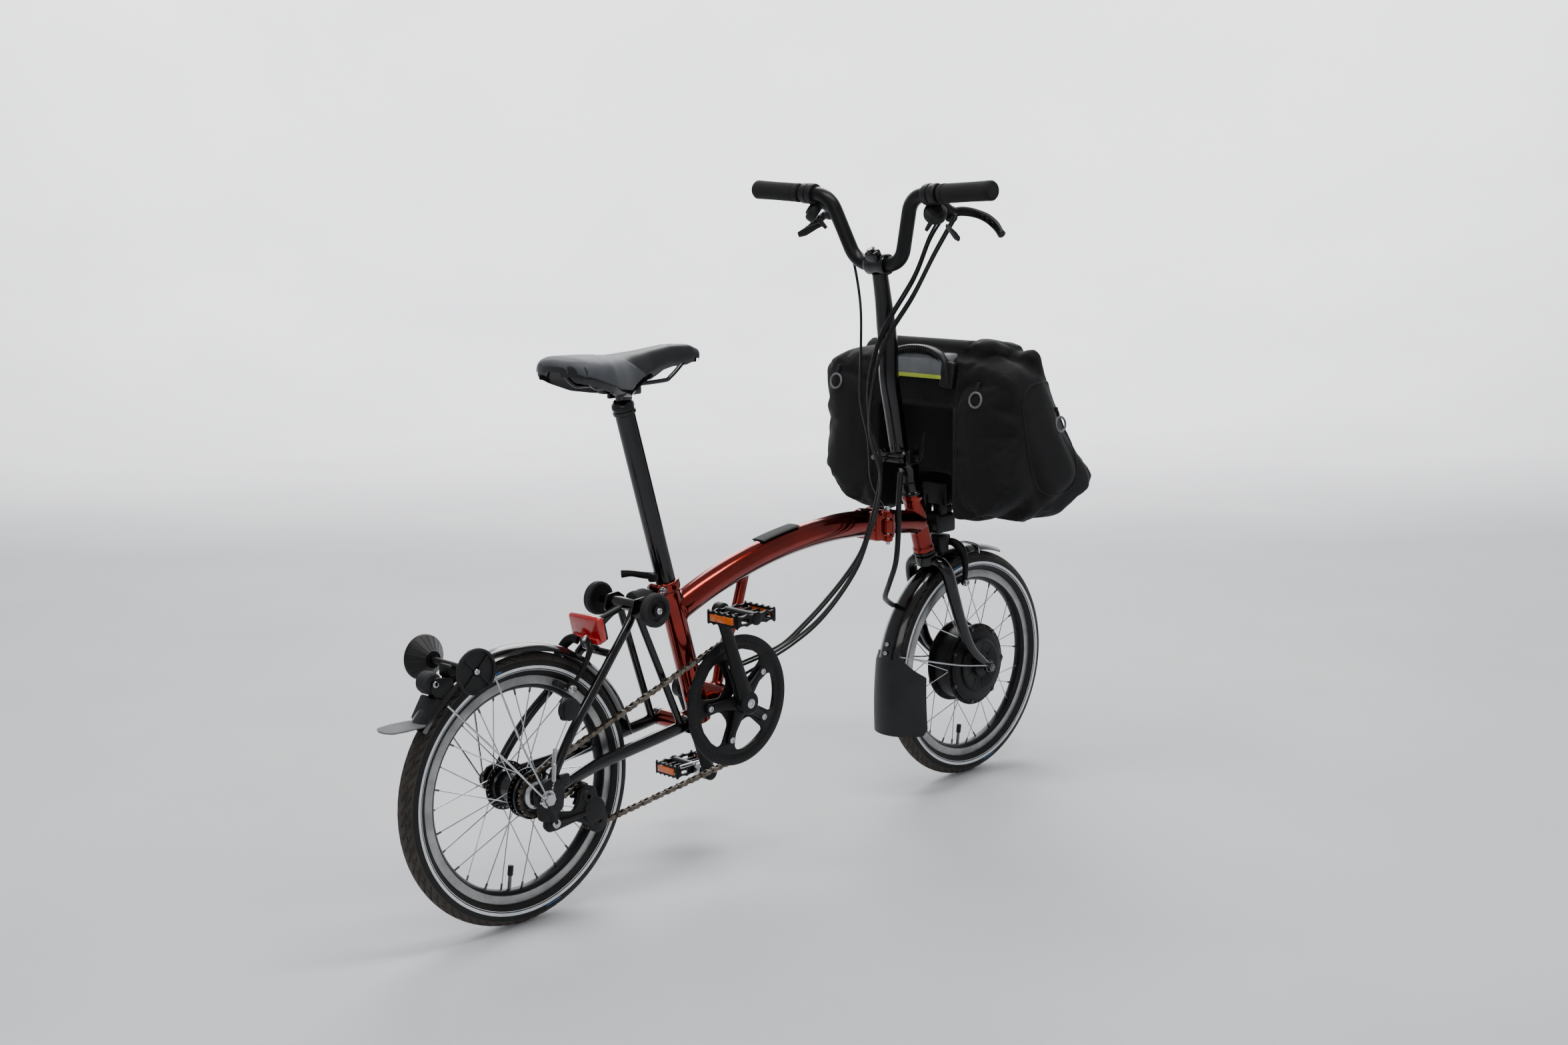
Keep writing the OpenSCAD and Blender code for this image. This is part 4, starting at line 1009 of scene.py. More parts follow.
@dataclass
class Drive:
    """Cranks, guarded chainring, chain, sprocket, tensioner and pedals."""

    ring_teeth: int = 50
    cog_teeth: int = 15
    pitch: float = 12.7
    chain_y: float = -47.0
    guard_r: float = 108.0
    crank_len: float = 170.0
    crank_lean: float = 18.6
    spider: float = 108.6
    jockeys: tuple = ((84, 0, 192), (104, 0, 150))
    jockey_r: float = 15.0

    def toothed(self, centre: Point, teeth: int, low: float = 4.2) -> list[tuple[float, float]]:
        """Returns the outline of a chain wheel with the given number of teeth."""
        r = self.pitch / 2 / math.sin(math.pi / teeth)
        steps = [(-0.5, r - low), (-0.36, r - low + 0.6), (-0.14, r + 2.4), (0.0, r + 3.2), (0.14, r + 2.4),
            (0.36, r - low + 0.6)]
        return [(centre[0] + q * math.cos(2 * math.pi * (k + s) / teeth), centre[2]
            + q * math.sin(2 * math.pi * (k + s) / teeth)) for k in range(teeth) for s, q in steps]

    def window(self, angle: float, inner: float, outer: float, half: float,
            radius: float) -> list[tuple[float, float]]:
        """Returns a rounded window in the guard between two spider arms."""
        corners = [on_ring(CRANK, r, angle + s * h) for r, h, signs in ((inner, half * 0.8, (-1, 1)),
            (outer, half, (1, 0.35, -0.35, -1))) for s in signs]
        return outline_of([(c[0], c[2]) for c in corners], radius, 6)

    def chainring(self) -> None:
        """Builds the toothed ring and its guard disc with five windows and a row of slots."""
        windows = [self.window(self.spider + 36 + 72 * k, 40, 84, 25, 15) for k in range(5)]
        ring = Shape().plate(self.toothed(CRANK, self.ring_teeth, 3.4), self.chain_y - 1, self.chain_y + 1,
            [circle(CRANK[0], CRANK[2], 86, 90)], edge=0.3)
        ring.piece("chainring_teeth", DARK_STEEL, "crank", "satin_black")
        guard = Shape().plate(circle(CRANK[0], CRANK[2], 93, 120), -55, -52.4, windows
            + [circle(CRANK[0], CRANK[2], 15, 24)], edge=0.7)
        guard.turned(CRANK, [(89, -54.6), (92, -55.8), (self.guard_r - 3, -56.6), (self.guard_r, -55),
            (self.guard_r, -53), (self.guard_r - 3, -52.4), (89, -52.6)], sides=160, ring=True)
        for k in range(60):
            guard.block(on_ring(CRANK, 96.5, 6 * k, -56.3), (3.4, 1.2, 2.0), 0.5, (0, -6 * k, 0))
        for k in range(5):
            guard.rod(on_ring(CRANK, 78, self.spider + 72 * k, -53), on_ring(CRANK, 78, self.spider + 72 * k,
                -47.5), 6)
        guard.piece("chain_guard_disc", BLASTED, "crank", "satin_black", ["chainring"])

    def cranks(self) -> None:
        """Builds both crank arms, the spider and their bolts."""
        lean = math.radians(self.crank_lean)
        up = np.array([-math.sin(lean), 0, math.cos(lean)])
        for name, way in (("right", 1), ("left", -1)):
            y = -77 * way
            arm = Shape()
            foot, tip = CRANK + [0, y, 0], CRANK + self.crank_len * way * up + [0, y, 0]
            path = np.linspace(foot, tip, 14)
            arm.tube(path, [15.5, 14, 12.5, 11.5, 11.5, 12.5], 28, flat=0.62, up=np.cross(up, [0, 1, 0]))
            for spot, r in ((foot, 19), (tip, 13.5)):
                arm.turned(spot, [(r - 3, -9.5), (r, -7), (r, 7), (r - 3, 9.5), (0, 9.5)], sides=40)
            if way == 1:
                for k in range(5):
                    a = self.spider + 72 * k
                    arm.tube(curve_through([on_ring(CRANK, 8, a, -66), on_ring(CRANK, 30, a, -63.5),
                        on_ring(CRANK, 52, a, -60), on_ring(CRANK, 68, a, -59)], 4), [14, 10, 7.5, 7], 20,
                        flat=0.45, up=on_ring((0, 0, 0), 1, a + 90))
                    arm.rod(on_ring(CRANK, 65, a, -61.5), on_ring(CRANK, 65, a, -55.5), 8)
            arm.piece(f"{name}_crank_arm", BLASTED, "crank", "satin_black", [f"{name}_crank"])
        bolts = Shape().rod(CRANK + [0, -68, 0], CRANK + [0, 68, 0], 8)
        for way in (1, -1):
            bolt(bolts, CRANK + [0, 86.3 * way, 0], (0, way, 0), 8, 2)
        for k in range(5):
            bolt(bolts, on_ring(CRANK, 65, self.spider + 72 * k, -61.4), (0, -1, 0), 5.2, 2.4)
        for way, y in ((1, -1), (-1, 1)):
            tip = CRANK + self.crank_len * way * up
            bolts.rod(tip + [0, 70 * y, 0], tip + [0, (150 if y < 0 else 103) * y, 0], 5)
        bolts.piece("crank_bolts", STEEL, "crank", "steel", ["crank_axle"])

    def wrap(self, centre: Point, r: float, start: float, end: float) -> list[np.ndarray]:
        """Returns points around a chain wheel from one angle to another."""
        return [on_ring(centre, r, a, self.chain_y) for a in np.linspace(start, end,
            max(int(abs(end - start) / 6), 4))]

    def chain(self) -> None:
        """Builds the chain's links along the chain line."""
        ring_r = self.pitch / 2 / math.sin(math.pi / self.ring_teeth)
        cog_r = self.pitch / 2 / math.sin(math.pi / self.cog_teeth)
        line = np.array(self.wrap(REAR, cog_r, 108.8, 290.7) + self.wrap(self.jockeys[0], self.jockey_r + 0.5,
            110.7, -18) + self.wrap(self.jockeys[1], self.jockey_r + 0.5, 162, 277.3)
            + self.wrap(CRANK, ring_r, -82.7, 108.8))
        line = np.vstack([line, line[:1]])
        along = np.concatenate([[0], np.cumsum(np.linalg.norm(np.diff(line, axis=0), axis=1))])
        count = int(along[-1] / self.pitch) // 2 * 2
        spots = np.linspace(0, along[-1], count, endpoint=False)
        pins = np.stack([np.interp(spots, along, line[:, k]) for k in range(3)], axis=1)
        links, half = Shape(), self.pitch / 2
        eight = [(half + 4.1 * math.cos(a), 4.1 * math.sin(a)) for a in np.linspace(-2.1, 2.1, 8)]
        eight += [(0, 2.7)] + [(-x, z) for x, z in reversed(eight)] + [(0, -2.7)]
        for k, pin in enumerate(pins):
            after = pins[(k + 1) % count]
            way, middle = unit(after - pin), (pin + after) / 2
            cross = np.array([-way[2], 0, way[0]])
            for y in ((3.2, 4.1), (-4.1, -3.2)) if k % 2 else ((1.9, 2.8), (-2.8, -1.9)):
                rows = np.array([[middle + way * x + cross * z + [0, q, 0] for x, z in eight] for q in y])
                links.grid(rows)
            links.rod(pin + [0, -4.6, 0], pin + [0, 4.6, 0], 1.8, sides=8, edge=0.3)
            links.rod(pin + [0, -1.8, 0], pin + [0, 1.8, 0], 3.8, sides=10, edge=0.3)
        links.piece("chain_links", CHAIN_STEEL, "main_frame", "chain", ["chain"])

    def wheels(self) -> None:
        """Builds the sprocket, the tensioner and its two jockey wheels."""
        cog = Shape().plate(self.toothed(REAR, self.cog_teeth), self.chain_y - 1, self.chain_y + 1,
            [circle(0, AXLE_Z, 17)], edge=0.3)
        cog.turned(REAR, [(6, -36), (18, -36), (18.5, -44), (21, -45.5), (21, -49), (18, -51), (15, -52.6),
            (6, -52.8)], ring=True)
        cog.piece("sprocket_teeth", STEEL, "rear_sprocket", "steel", ["rear_sprocket"])
        for name, spot in zip(("upper", "lower"), self.jockeys):
            wheel = Shape().plate(self.toothed(spot, 8, 4.6), self.chain_y - 2, self.chain_y + 2,
                [circle(spot[0], spot[2], 4.1, 20)], edge=0.5)
            wheel.turned(np.array(spot) + [0, self.chain_y, 0], [(4.1, -4), (8, -4), (8.5, -2.5), (8.5, 2.5),
                (8, 4), (4.1, 4)], ring=True)
            wheel.piece(f"jockey_wheel_{name}", NYLON, f"jockey_{name}", "black_plastic", [f"jockey_{name}"])
        arm = outline_of([(2, 176), (0, 162), (8, 153), (24, 153), (60, 158), (84, 146), (92, 134), (104, 130),
            (118, 136), (122, 152), (116, 170), (104, 188), (100, 204), (84, 210), (70, 202), (66, 188),
            (56, 175), (30, 181), (14, 184)], 8)
        case = Shape().plate(arm, -66, -58.8, [circle(15, 168, 4.1, 20)], edge=1.6)
        case.tube([(15, -66.4, 168), (45, -66.8, 166), (94, -66.4, 168)], [7, 6, 5], 16, flat=0.5)
        case.turned((95, -66, 168), [(21, 0), (20, 2.4), (15, 3.4), (8, 3.4)], (0, -1, 0))
        for spot in self.jockeys:
            case.rod((spot[0], -68, spot[2]), (spot[0], -42, spot[2]), 4, sides=16)
            case.turned((spot[0], -66, spot[2]), [(10, 0), (9, 1.6), (5, 2)], (0, -1, 0))
        case.turned((15, -66, 168), [(13, 0), (12, 3), (9, 4)], (0, -1, 0))
        case.piece("tensioner_case", NYLON, "tensioner", "black_plastic", ["tensioner_arm"])
        fixed = Shape().plate(outline_of([(-16, 178), (6, 172), (30, 190), (34, 226), (16, 240), (-6, 236),
            (-18, 214)], 9), -75, -69, [circle(0, AXLE_Z, 11, 24)], edge=1.2)
        fixed.block((34, -71, 232), (20, 9, 16), 3).rod((-2, -72, 206), (15, -72, 168), 6)
        fixed.piece("tensioner_bracket", NYLON, "rear_frame", "black_plastic")

    @staticmethod
    def scalloped(x0: float, x1: float, z0: float, z1: float, bites: int) -> list[tuple[float, float]]:
        """Returns a pedal plate's outline: a box whose long edges have shallow bites between its teeth."""
        top = [(x0 + (x1 - x0) * k / (bites * 4), z1 - (2.6 if k % 4 == 2 else 1.9 if k % 2 else 0))
            for k in range(bites * 4 + 1)]
        return top[::-1] + [(x, z0 + z1 - z) for x, z in top]

    def pedals(self) -> None:
        """Builds the right pedal and the folding left pedal, with their reflectors."""
        lean = math.radians(self.crank_lean)
        up = np.array([-math.sin(lean), 0, math.cos(lean)])
        for name, way in (("right", 1), ("left", -1)):
            spot, s = CRANK + self.crank_len * way * up, -way
            x, z = spot[0], spot[2]
            y0, y1 = (92, 158) if way == 1 else (111, 165)
            body = f"{name}_pedal"
            cage = Shape()
            for dx in (-40, 40):
                cage.plate(self.scalloped(y0, y1, z - 12, z + 12, 5), -2.2, 2.2,
                    [outline_of([(y0 + 6, z - 6), (y1 - 6, z - 6), (y1 - 6, z + 6), (y0 + 6, z + 6)], 3)],
                    edge=0.8, place=Matrix.Translation((x + dx, 0, 0)) @ Matrix(((0, -s, 0, 0), (s, 0, 0, 0),
                    (0, 0, 1, 0), (0, 0, 0, 1))))
            for y in (y0, y1):
                cage.plate(self.scalloped(x - 41, x + 41, z - 10, z + 10, 4), s * y - 2.4, s * y + 2.4,
                    [outline_of([(x + a, z - 4), (x + b, z - 4), (x + b, z + 4), (x + a, z + 4)], 3) for a,
                    b in ((-33, -17), (17, 33))], edge=0.9)
            cage.rod((x, s * (y0 - 2), z), (x, s * y1, z), 9.5, sides=28)
            for y in np.linspace(y0 + 14, y1 - 14, 3):
                cage.block((x, s * y, z), (78, 4.5, 9), 1.2)
            cage.turned((x, s * y1, z), [(11, 0), (10.5, 3), (8, 4)], (0, s, 0), 28)
            cage.piece(f"{name}_pedal_cage", ANODISED, body, "satin_black", [f"{name}_pedal"])
            lens = Shape()
            for dx in (-42.6, 42.6):
                lens.block((x + dx, s * (y0 + y1) / 2, z), (3.4, y1 - y0 - 14, 11), 1.0)
            lens.piece(f"{name}_pedal_reflectors", ORANGE_LENS, body, "reflector")
        spot = CRANK - self.crank_len * up
        hinge = Shape().turned(spot, [(6.2, 88), (11, 88), (12.5, 91), (12.5, 101), (11, 103.5), (6.2, 103.5)],
            ring=True)
        hinge.piece("left_pedal_joint", STEEL, "left_pedal_hinge", "steel", ["left_pedal_hinge"])
        steel = Shape().rod(spot + [-38, 107.5, 10], spot + [38, 107.5, 10], 3.2)
        steel.piece("left_pedal_bar", STEEL, "left_pedal", "steel")

    def build(self) -> None:
        """Builds the drive."""
        self.chainring()
        self.cranks()
        self.chain()
        self.wheels()
        self.pedals()


# ---- fork, brakes and handlepost ----

@dataclass
class Brakes:
    """The two dual-pivot rim brakes: each is a pair of curved arms with cartridge pads."""

    def arm(self, path: Sequence[Point], pad: Point, side: int, name: str, body: str) -> None:
        """Builds one arm with its pad.

        Args:
            path: the arm's middle line on the left side.
            pad: the middle of the pad's shoe on the left side.
            side: 1 for the left arm and -1 for the right.
            name: the piece's first name.
            body: the CAD body and node that it stands for.
        """
        flip = np.array([1, side, 1])
        arm = Shape().tube(curve_through(path, 3) * flip, [6.5, 8.5, 7, 5.5, 5], 20, flat=0.62, up=(0, 0, 1))
        arm.rod(np.array(path[-1]) * flip + [0, -3 * side, 0], np.array(path[-1]) * flip + [0, 3 * side, 0],
            7.5)
        arm.piece(name + "_arm", ANODISED, body, "satin_black", [body])
        shoe = Shape()
        x, y, z = pad
        centre = FRONT if x > 500 else REAR
        turn = 90 - math.degrees(math.atan2(z - centre[2], x - centre[0]))
        shoe.block((x, side * (y + 3), z), (34, 6, 10), 2, (0, turn, 0)).block((x, side * y, z), (38, 3.2, 9),
            1, (0, turn, 0))
        shoe.piece(name + "_pad", RUBBER, body, "satin_black")
        steel = Shape()
        bolt(steel, (x, side * (y + 20), z), (0, side, 0), 6.5, 6)
        steel.rod((x, side * (y + 5), z), (x, side * (y + 18), z), 3.2)
        steel.piece(name + "_bolt", STEEL, body, "satin_black")

    def build(self) -> None:
        """Builds the four arms and the rear pivot."""
        for side, word in ((1, "left"), (-1, "right")):
            self.arm([(131, 5, 415), (130, 18, 416), (124, 31, 405), (104, 35, 378), (84, 32, 356)],
                (84, 14.6, 355), side, f"rear_brake_{word}", f"rear_caliper_{word}")
            self.arm([(987, 6, 448), (991, 20, 446), (998, 33, 432), (1003, 36, 402), (1005, 32, 373)],
                (1005, 14.6, 372), side, f"front_brake_{word}", f"front_caliper_{word}")
        pivots = Shape().rod((141, 0, 408), (150, 0, 403), 6.5)
        pivots.tube(curve_through([(136, -6, 410), (128, -22, 424), (118, -31, 429), (108, -36, 424)], 3), 2.6,
            12)
        pivots.piece("rear_brake_pivot", STEEL, "rear_frame", "steel")


@dataclass
class Fork:
    """Fork, its fittings, front mudguard, flap and the handlepost's lower joint."""

    main: MainFrame

    def legs(self) -> None:
        """Builds the crown, the tapered legs, the steerer and the drop-outs."""
        steer, fork = self.main.steer, Shape()
        fork.turned(steer(-20), [(15, -9), (19, -6), (20, 4), (18, 10), (14, 12)], steer(1) - steer(0))
        leg = curve_through([steer(-22) + [2, 10, 0], steer(-19) + [3, 30, -4], (944, 43, 402), (957, 47, 356),
            (974, 50, 305), (998, 53, 255), (1030, 54, 224), (1043, 54, 214)], 6)
        side = Shape().tube(leg, [11, 12.5, 12, 11, 9, 7.5], 28, flat=0.86, up=(1, 0, 0.4))
        side.plate(outline_of([(1032, 214), (1044, 198), (1058, 204), (1058, 220), (1042, 228)], 6), 51.5, 57,
            edge=1)
        side.both_sides()
        fork.add(np.vstack(side.points), side.faces)
        fork.rod(steer(-8), steer(self.main.head_len + 26), 12.7)
        fork.piece("fork_legs", POWDER, "fork", "black_paint", ["fork"])

    def fittings(self) -> None:
        """Builds the axle, its nuts, the connector box, the mudguard and its stays."""
        steel = Shape().rod(FRONT + [0, -68, 0], FRONT + [0, 68, 0], 5)
        for way in (1, -1):
            steel.turned(FRONT, [(9.5, 57.4), (9.5, 59), (8.4, 60)], (0, way, 0))
            steel.turned(FRONT, [(8.4, 60), (8.4, 66), (7.2, 67), (5, 67)], (0, way, 0), 6)
        bolt(steel, (986, 0, 447), (1, 0, 0.2), 4, 3)
        steel.piece("front_axle_and_nuts", DARK_STEEL, "fork", "steel", ["fork_fittings"])
        box = Shape().block((967, 0, 447), (26, 38, 34), 6).block((985, 0, 452), (10, 26, 20), 4)
        box.piece("connector_box", NYLON, "fork", "black_plastic")
        guard = Shape()
        section = RearFrame().guard_section(24, 224.5)
        guard.grid(np.array([[on_ring(FRONT, r, a, y) for r, y in section] for a in np.linspace(70, 168, 80)]))
        guard.piece("front_mudguard_shell", GLOSS, "fork", "gloss_plastic", ["front_mudguard"])
        stays = Shape()
        for way in (1, -1):
            stays.tube(curve_through([(1040, 60 * way, 214), (960, 47 * way, 228), (835, 26 * way, 262)], 6),
                1.6, 10)
        stays.tube(curve_through([(1052, 26, 418), (1054, 18, 432), (1054, -18, 432), (1052, -26, 418)], 3),
            3.4, 12, flat=0.35)
        for angle in (161.5, 165.5):
            place = on_ring(FRONT, 226, angle)
            bolt(stays, place, place - FRONT, 4, 3)
        stays.piece("front_mudguard_stays", STEEL, "fork", "steel")

    def flap(self) -> None:
        """Builds the flexible flap, a widening trough that hangs from the front mudguard."""
        rows = []
        for t in np.linspace(0, 1, 40):
            z, middle = 268 - 152 * t, 885 - 3 * t - 4 * math.sin(math.pi * t)
            wing = math.radians(28 + 54 * min(t / 0.3, 1) ** 1.6 - 10 * max(0, t - 0.93) / 0.07)
            r = 55.5 + 3.5 * t
            turns = np.linspace(-wing, wing, 31)
            rows.append([(middle - r * math.cos(a), r * math.sin(a), z) for a in turns]
                + [(middle - (r - 2.2) * math.cos(a), (r - 2.2) * math.sin(a), z) for a in turns[::-1]])
        made = Shape().grid(np.array(rows)).piece("front_flap_sheet", FLAP, "fork", "rubber", ["front_flap"],
            60)
        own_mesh(made)

    def base(self) -> None:
        """Builds the handlepost's lower half-joint."""
        steer, length = self.main.steer, self.main.head_len
        base = Shape().turned(steer(length + 7.5), [(19, 0), (19.5, 4), (18, 16), (16, 18)], steer(1)
            - steer(0))
        base.tube(curve_through([steer(length + 18), (889, 0, 592), (884, 0, 604), (874, 0, 612)], 3),
            [16.5, 17, 19, 20], 32)
        base.plate(outline_of([(846, -22), (890, -22), (890, 28), (846, 28)], [8, 8, 3, 3]), -4.4, 4.4,
            edge=1.2, place=Matrix.Translation((0, 0, 612.6)) @ Matrix(((1, 0, 0, 0), (0, 0, 1, 0),
            (0, -1, 0, 0), (0, 0, 0, 1))))
        for x in (854, 882):
            base.rod((x - 4, 34, 622), (x + 4, 34, 622), 6.4).block((x, 33, 612), (8, 12, 14), 2)
        base.rod((850, 34, 622), (886, 34, 622), 3)
        base.piece("handlepost_lower_joint", POWDER, "fork", "black_paint", ["stem_base"])

    def build(self) -> None:
        """Builds the fork."""
        self.legs()
        self.fittings()
        self.flap()
        self.base()


@dataclass
class Handlepost:
    """Folding handlepost, bent bar, foam grips, control clamps and the four levers."""

    bar_centre: tuple = (814, 0, 957)
    bar_lean: float = 11.0
    bar_r: float = 12.7
    turn: float = 70.0
    bend: float = 42.0
    rise: float = 70.0
    slope: float = 3.0
    grip_inner: float = 162.0

    def bar_line(self) -> list[tuple[float, float]]:
        """Returns the bar's middle line on the left in its own plane, (to the side, upwards)."""
        t, s = math.radians(self.turn), math.radians(self.slope)
        p = np.array([22 + self.bend * math.sin(t), self.bend * (1 - math.cos(t))])
        q = p + self.rise * np.array([math.cos(t), math.sin(t)])
        c = q + self.bend * np.array([math.sin(t), -math.cos(t)])
        first = [(22 + self.bend * math.sin(a), self.bend * (1 - math.cos(a))) for a in np.linspace(0, t, 12)]
        second = [tuple(c + self.bend * np.array([-math.sin(a), math.cos(a)])) for a in np.linspace(t, s, 12)]
        self.outer = c
        return first + second

    def on_bar(self, u: float, forward: float = 0.0, up: float = 0.0, side: int = 1) -> np.ndarray:
        """Returns a point u along the outer straight of the bar, shifted forward and up from its middle line."""
        s, lean = math.radians(self.slope), math.radians(self.bar_lean)
        c = self.outer
        v = c[1] + self.bend * math.cos(s) + (u - c[0] + self.bend * math.sin(s)) * math.tan(s) + up
        return np.array(self.bar_centre) + [forward * math.cos(lean) - v * math.sin(lean), side * u,
            v * math.cos(lean) + forward * math.sin(lean)]

    def in_plane(self, u: float, v: float) -> np.ndarray:
        """Returns a point of the bar's plane."""
        lean = math.radians(self.bar_lean)
        return np.array(self.bar_centre) + [-v * math.sin(lean), u, v * math.cos(lean)]

    def post(self) -> None:
        """Builds the handlepost's tube, its hinge plate, bar clamp and the clips on its foot."""
        post = Shape().tube(curve_through([(865, 0, 622), (861, 0, 643), (850, 0, 700), (839, 0, 755),
            (836, 0, 813), (830, 0, 862), (822, 0, 911), (816, 0, 942)], 8),
            [16.5, 17, 17.3, 17.4, 17.4, 17.2, 15, 14], 48)
        post.plate(outline_of([(846, -22), (890, -22), (890, 28), (846, 28)], [8, 8, 3, 3]), -3.6, 3.6,
            edge=1.2, place=Matrix.Translation((0, 0, 621.6)) @ Matrix(((1, 0, 0, 0), (0, 0, 1, 0),
            (0, -1, 0, 0), (0, 0, 0, 1))))
        post.rod((859.5, 34, 622), (876.5, 34, 622), 6.4).block((868, 29, 621), (17, 8, 8), 2)
        post.turned(self.bar_centre, [(13, -21), (17.5, -22), (19, -19), (18, -8), (18, 8), (19, 19),
            (17.5, 22), (13, 21)], ring=True)
        post.block((800, 0, 972), (20, 26, 20), 5, (0, -30, 0)).rod((799, 0, 966), (790, 0, 984), 6)
        post.piece("handlepost_tube", POWDER, "stem", "black_paint", ["stem"])
        steel = Shape()
        bolt(steel, (798, 0, 984), (-0.4, 0, 0.9), 4.2, 3)
        steel.rod((834, 20, 623), (818, 22, 618), 4).rod((852, -22, 630), (838, -34, 628), 3)
        steel.piece("handlepost_bolts", DARK_STEEL, "stem", "steel")
        clamp = Shape().block((868, -28, 618), (30, 10, 26), 4).rod((868, -32, 617), (868, -47, 617), 6)
        clamp.tube(curve_through([(868, -43, 614), (870, -47, 630), (872, -50, 664)], 3), [6, 6.5, 5, 5.5], 16,
            flat=0.6)
        clamp.piece("handlepost_clamp_lever", ANODISED, "stem_clamp", "satin_black", ["stem_clamp"])

    def bar(self) -> None:
        """Builds the bent bar and the grips."""
        left = [self.in_plane(u, v) for u, v in self.bar_line()] + [self.on_bar(u) for u in (200, BAR_HALF - 3)]
        right = [p * [1, -1, 1] for p in left]
        Shape().tube(right[::-1] + left, self.bar_r, 32).piece("handlebar_tube", ANODISED, "stem",
            "black_paint", ["handlebar"])
        for side, word in ((1, "left"), (-1, "right")):
            profile = [(13, 0), (16, 0.6), (16.8, 3), (16.8, 9), (15.9, 10.5), (16.4, 14), (16.2, 60),
                (16.6, 98), (16.8, 106), (14.5, 109.5), (8, 110), (0, 110)]
            start = self.on_bar(self.grip_inner, side=side)
            way = self.on_bar(BAR_HALF, side=side) - start
            grip = Shape().turned(start, [(r, t * (BAR_HALF - self.grip_inner) / 110) for r, t in profile], way,
                40)
            made = grip.piece(f"{word}_foam_grip", FOAM, "stem", "grip_foam", ["grips"] if side == 1 else [])

    def controls(self) -> None:
        """Builds the clamps, shifter housings, cable stops and the levers."""
        for side, word in ((1, "left"), (-1, "right")):
            way = self.on_bar(156, side=side) - self.on_bar(128, side=side)
            clamp = Shape().turned(self.on_bar(128, side=side), [(13, 0), (17.5, 0), (18.5, 3), (18.5, 11),
                (15, 13), (18, 15), (18, 26), (16.5, 28), (13, 28)], way, 40, True)
            hub = self.on_bar(140, 3, -32, side)
            clamp.turned(hub, [(4, -9), (17, -9), (19.5, -6), (20, 0), (19.5, 4), (17, 8), (12, 9.5), (11, 12),
                (4, 13)], (-0.5, side * 0.55, 0.5), 40)
            flip = np.array([1, side, 1])
            clamp.tube(curve_through([self.on_bar(136, 4, -6, side), self.on_bar(137, 22, -20, side),
                (836, 138 * side, 1051), (852, 139 * side, 1046)], 3), [13, 12, 10, 8.5], 24, flat=0.85)
            clamp.turned((850, 140 * side, 1038), [(5, 0), (8.5, 1), (9, 3), (9, 13), (8.5, 15), (5, 16)],
                sides=32)
            clamp.rod(self.on_bar(126, 26, -16, side), self.on_bar(112, 24, -34, side), 4.5, 3.5)
            clamp.rod(self.on_bar(130, 2, -46, side), self.on_bar(116, 2, -60, side), 4.5, 3.5)
            clamp.piece(f"{word}_control_clamp", NYLON, "stem", "black_plastic", ["control_clamps"] if side == 1
                else [])
            blade = Shape().tube(curve_through([(850, 140, 1046), (860, 150, 1047), (870, 166, 1044),
                (875, 188, 1036), (874, 208, 1024), (870, 222, 1012)], 3) * flip, [8, 8, 7.5, 8, 8, 7], 20,
                flat=0.5, up=(0, 0, 1))
            for y, z in ((182, 1038), (193, 1033), (204, 1026)):
                blade.turned(np.array((868, y, z)) * flip, [(3.6, -1.2), (4.2, 0), (3.6, 1.2)], (-1, 0, 0.2),
                    16, True)
            blade.rod(np.array((870, 222, 1012)) * flip, np.array((869, 226, 1009)) * flip, 7)
            blade.piece(f"{word}_brake_lever_blade", ANODISED, f"brake_lever_{word}", "satin_black",
                [f"brake_lever_{word}"])
            paddle = Shape().tube(curve_through([(826, 142, 1024), (818, 158, 1017), (810, 176, 1008),
                (806, 186, 1004)], 3) * flip, [4, 4.5, 6, 7, 5], 14, flat=0.5, up=(0, 0, 1))
            paddle.piece(f"{word}_shift_paddle", NYLON, f"shift_lever_{word}", "black_plastic",
                [f"shift_lever_{word}"])

    def build(self) -> None:
        """Builds the handlepost."""
        self.bar_line()
        self.post()
        self.bar()
        self.controls()


# ---- seat ----

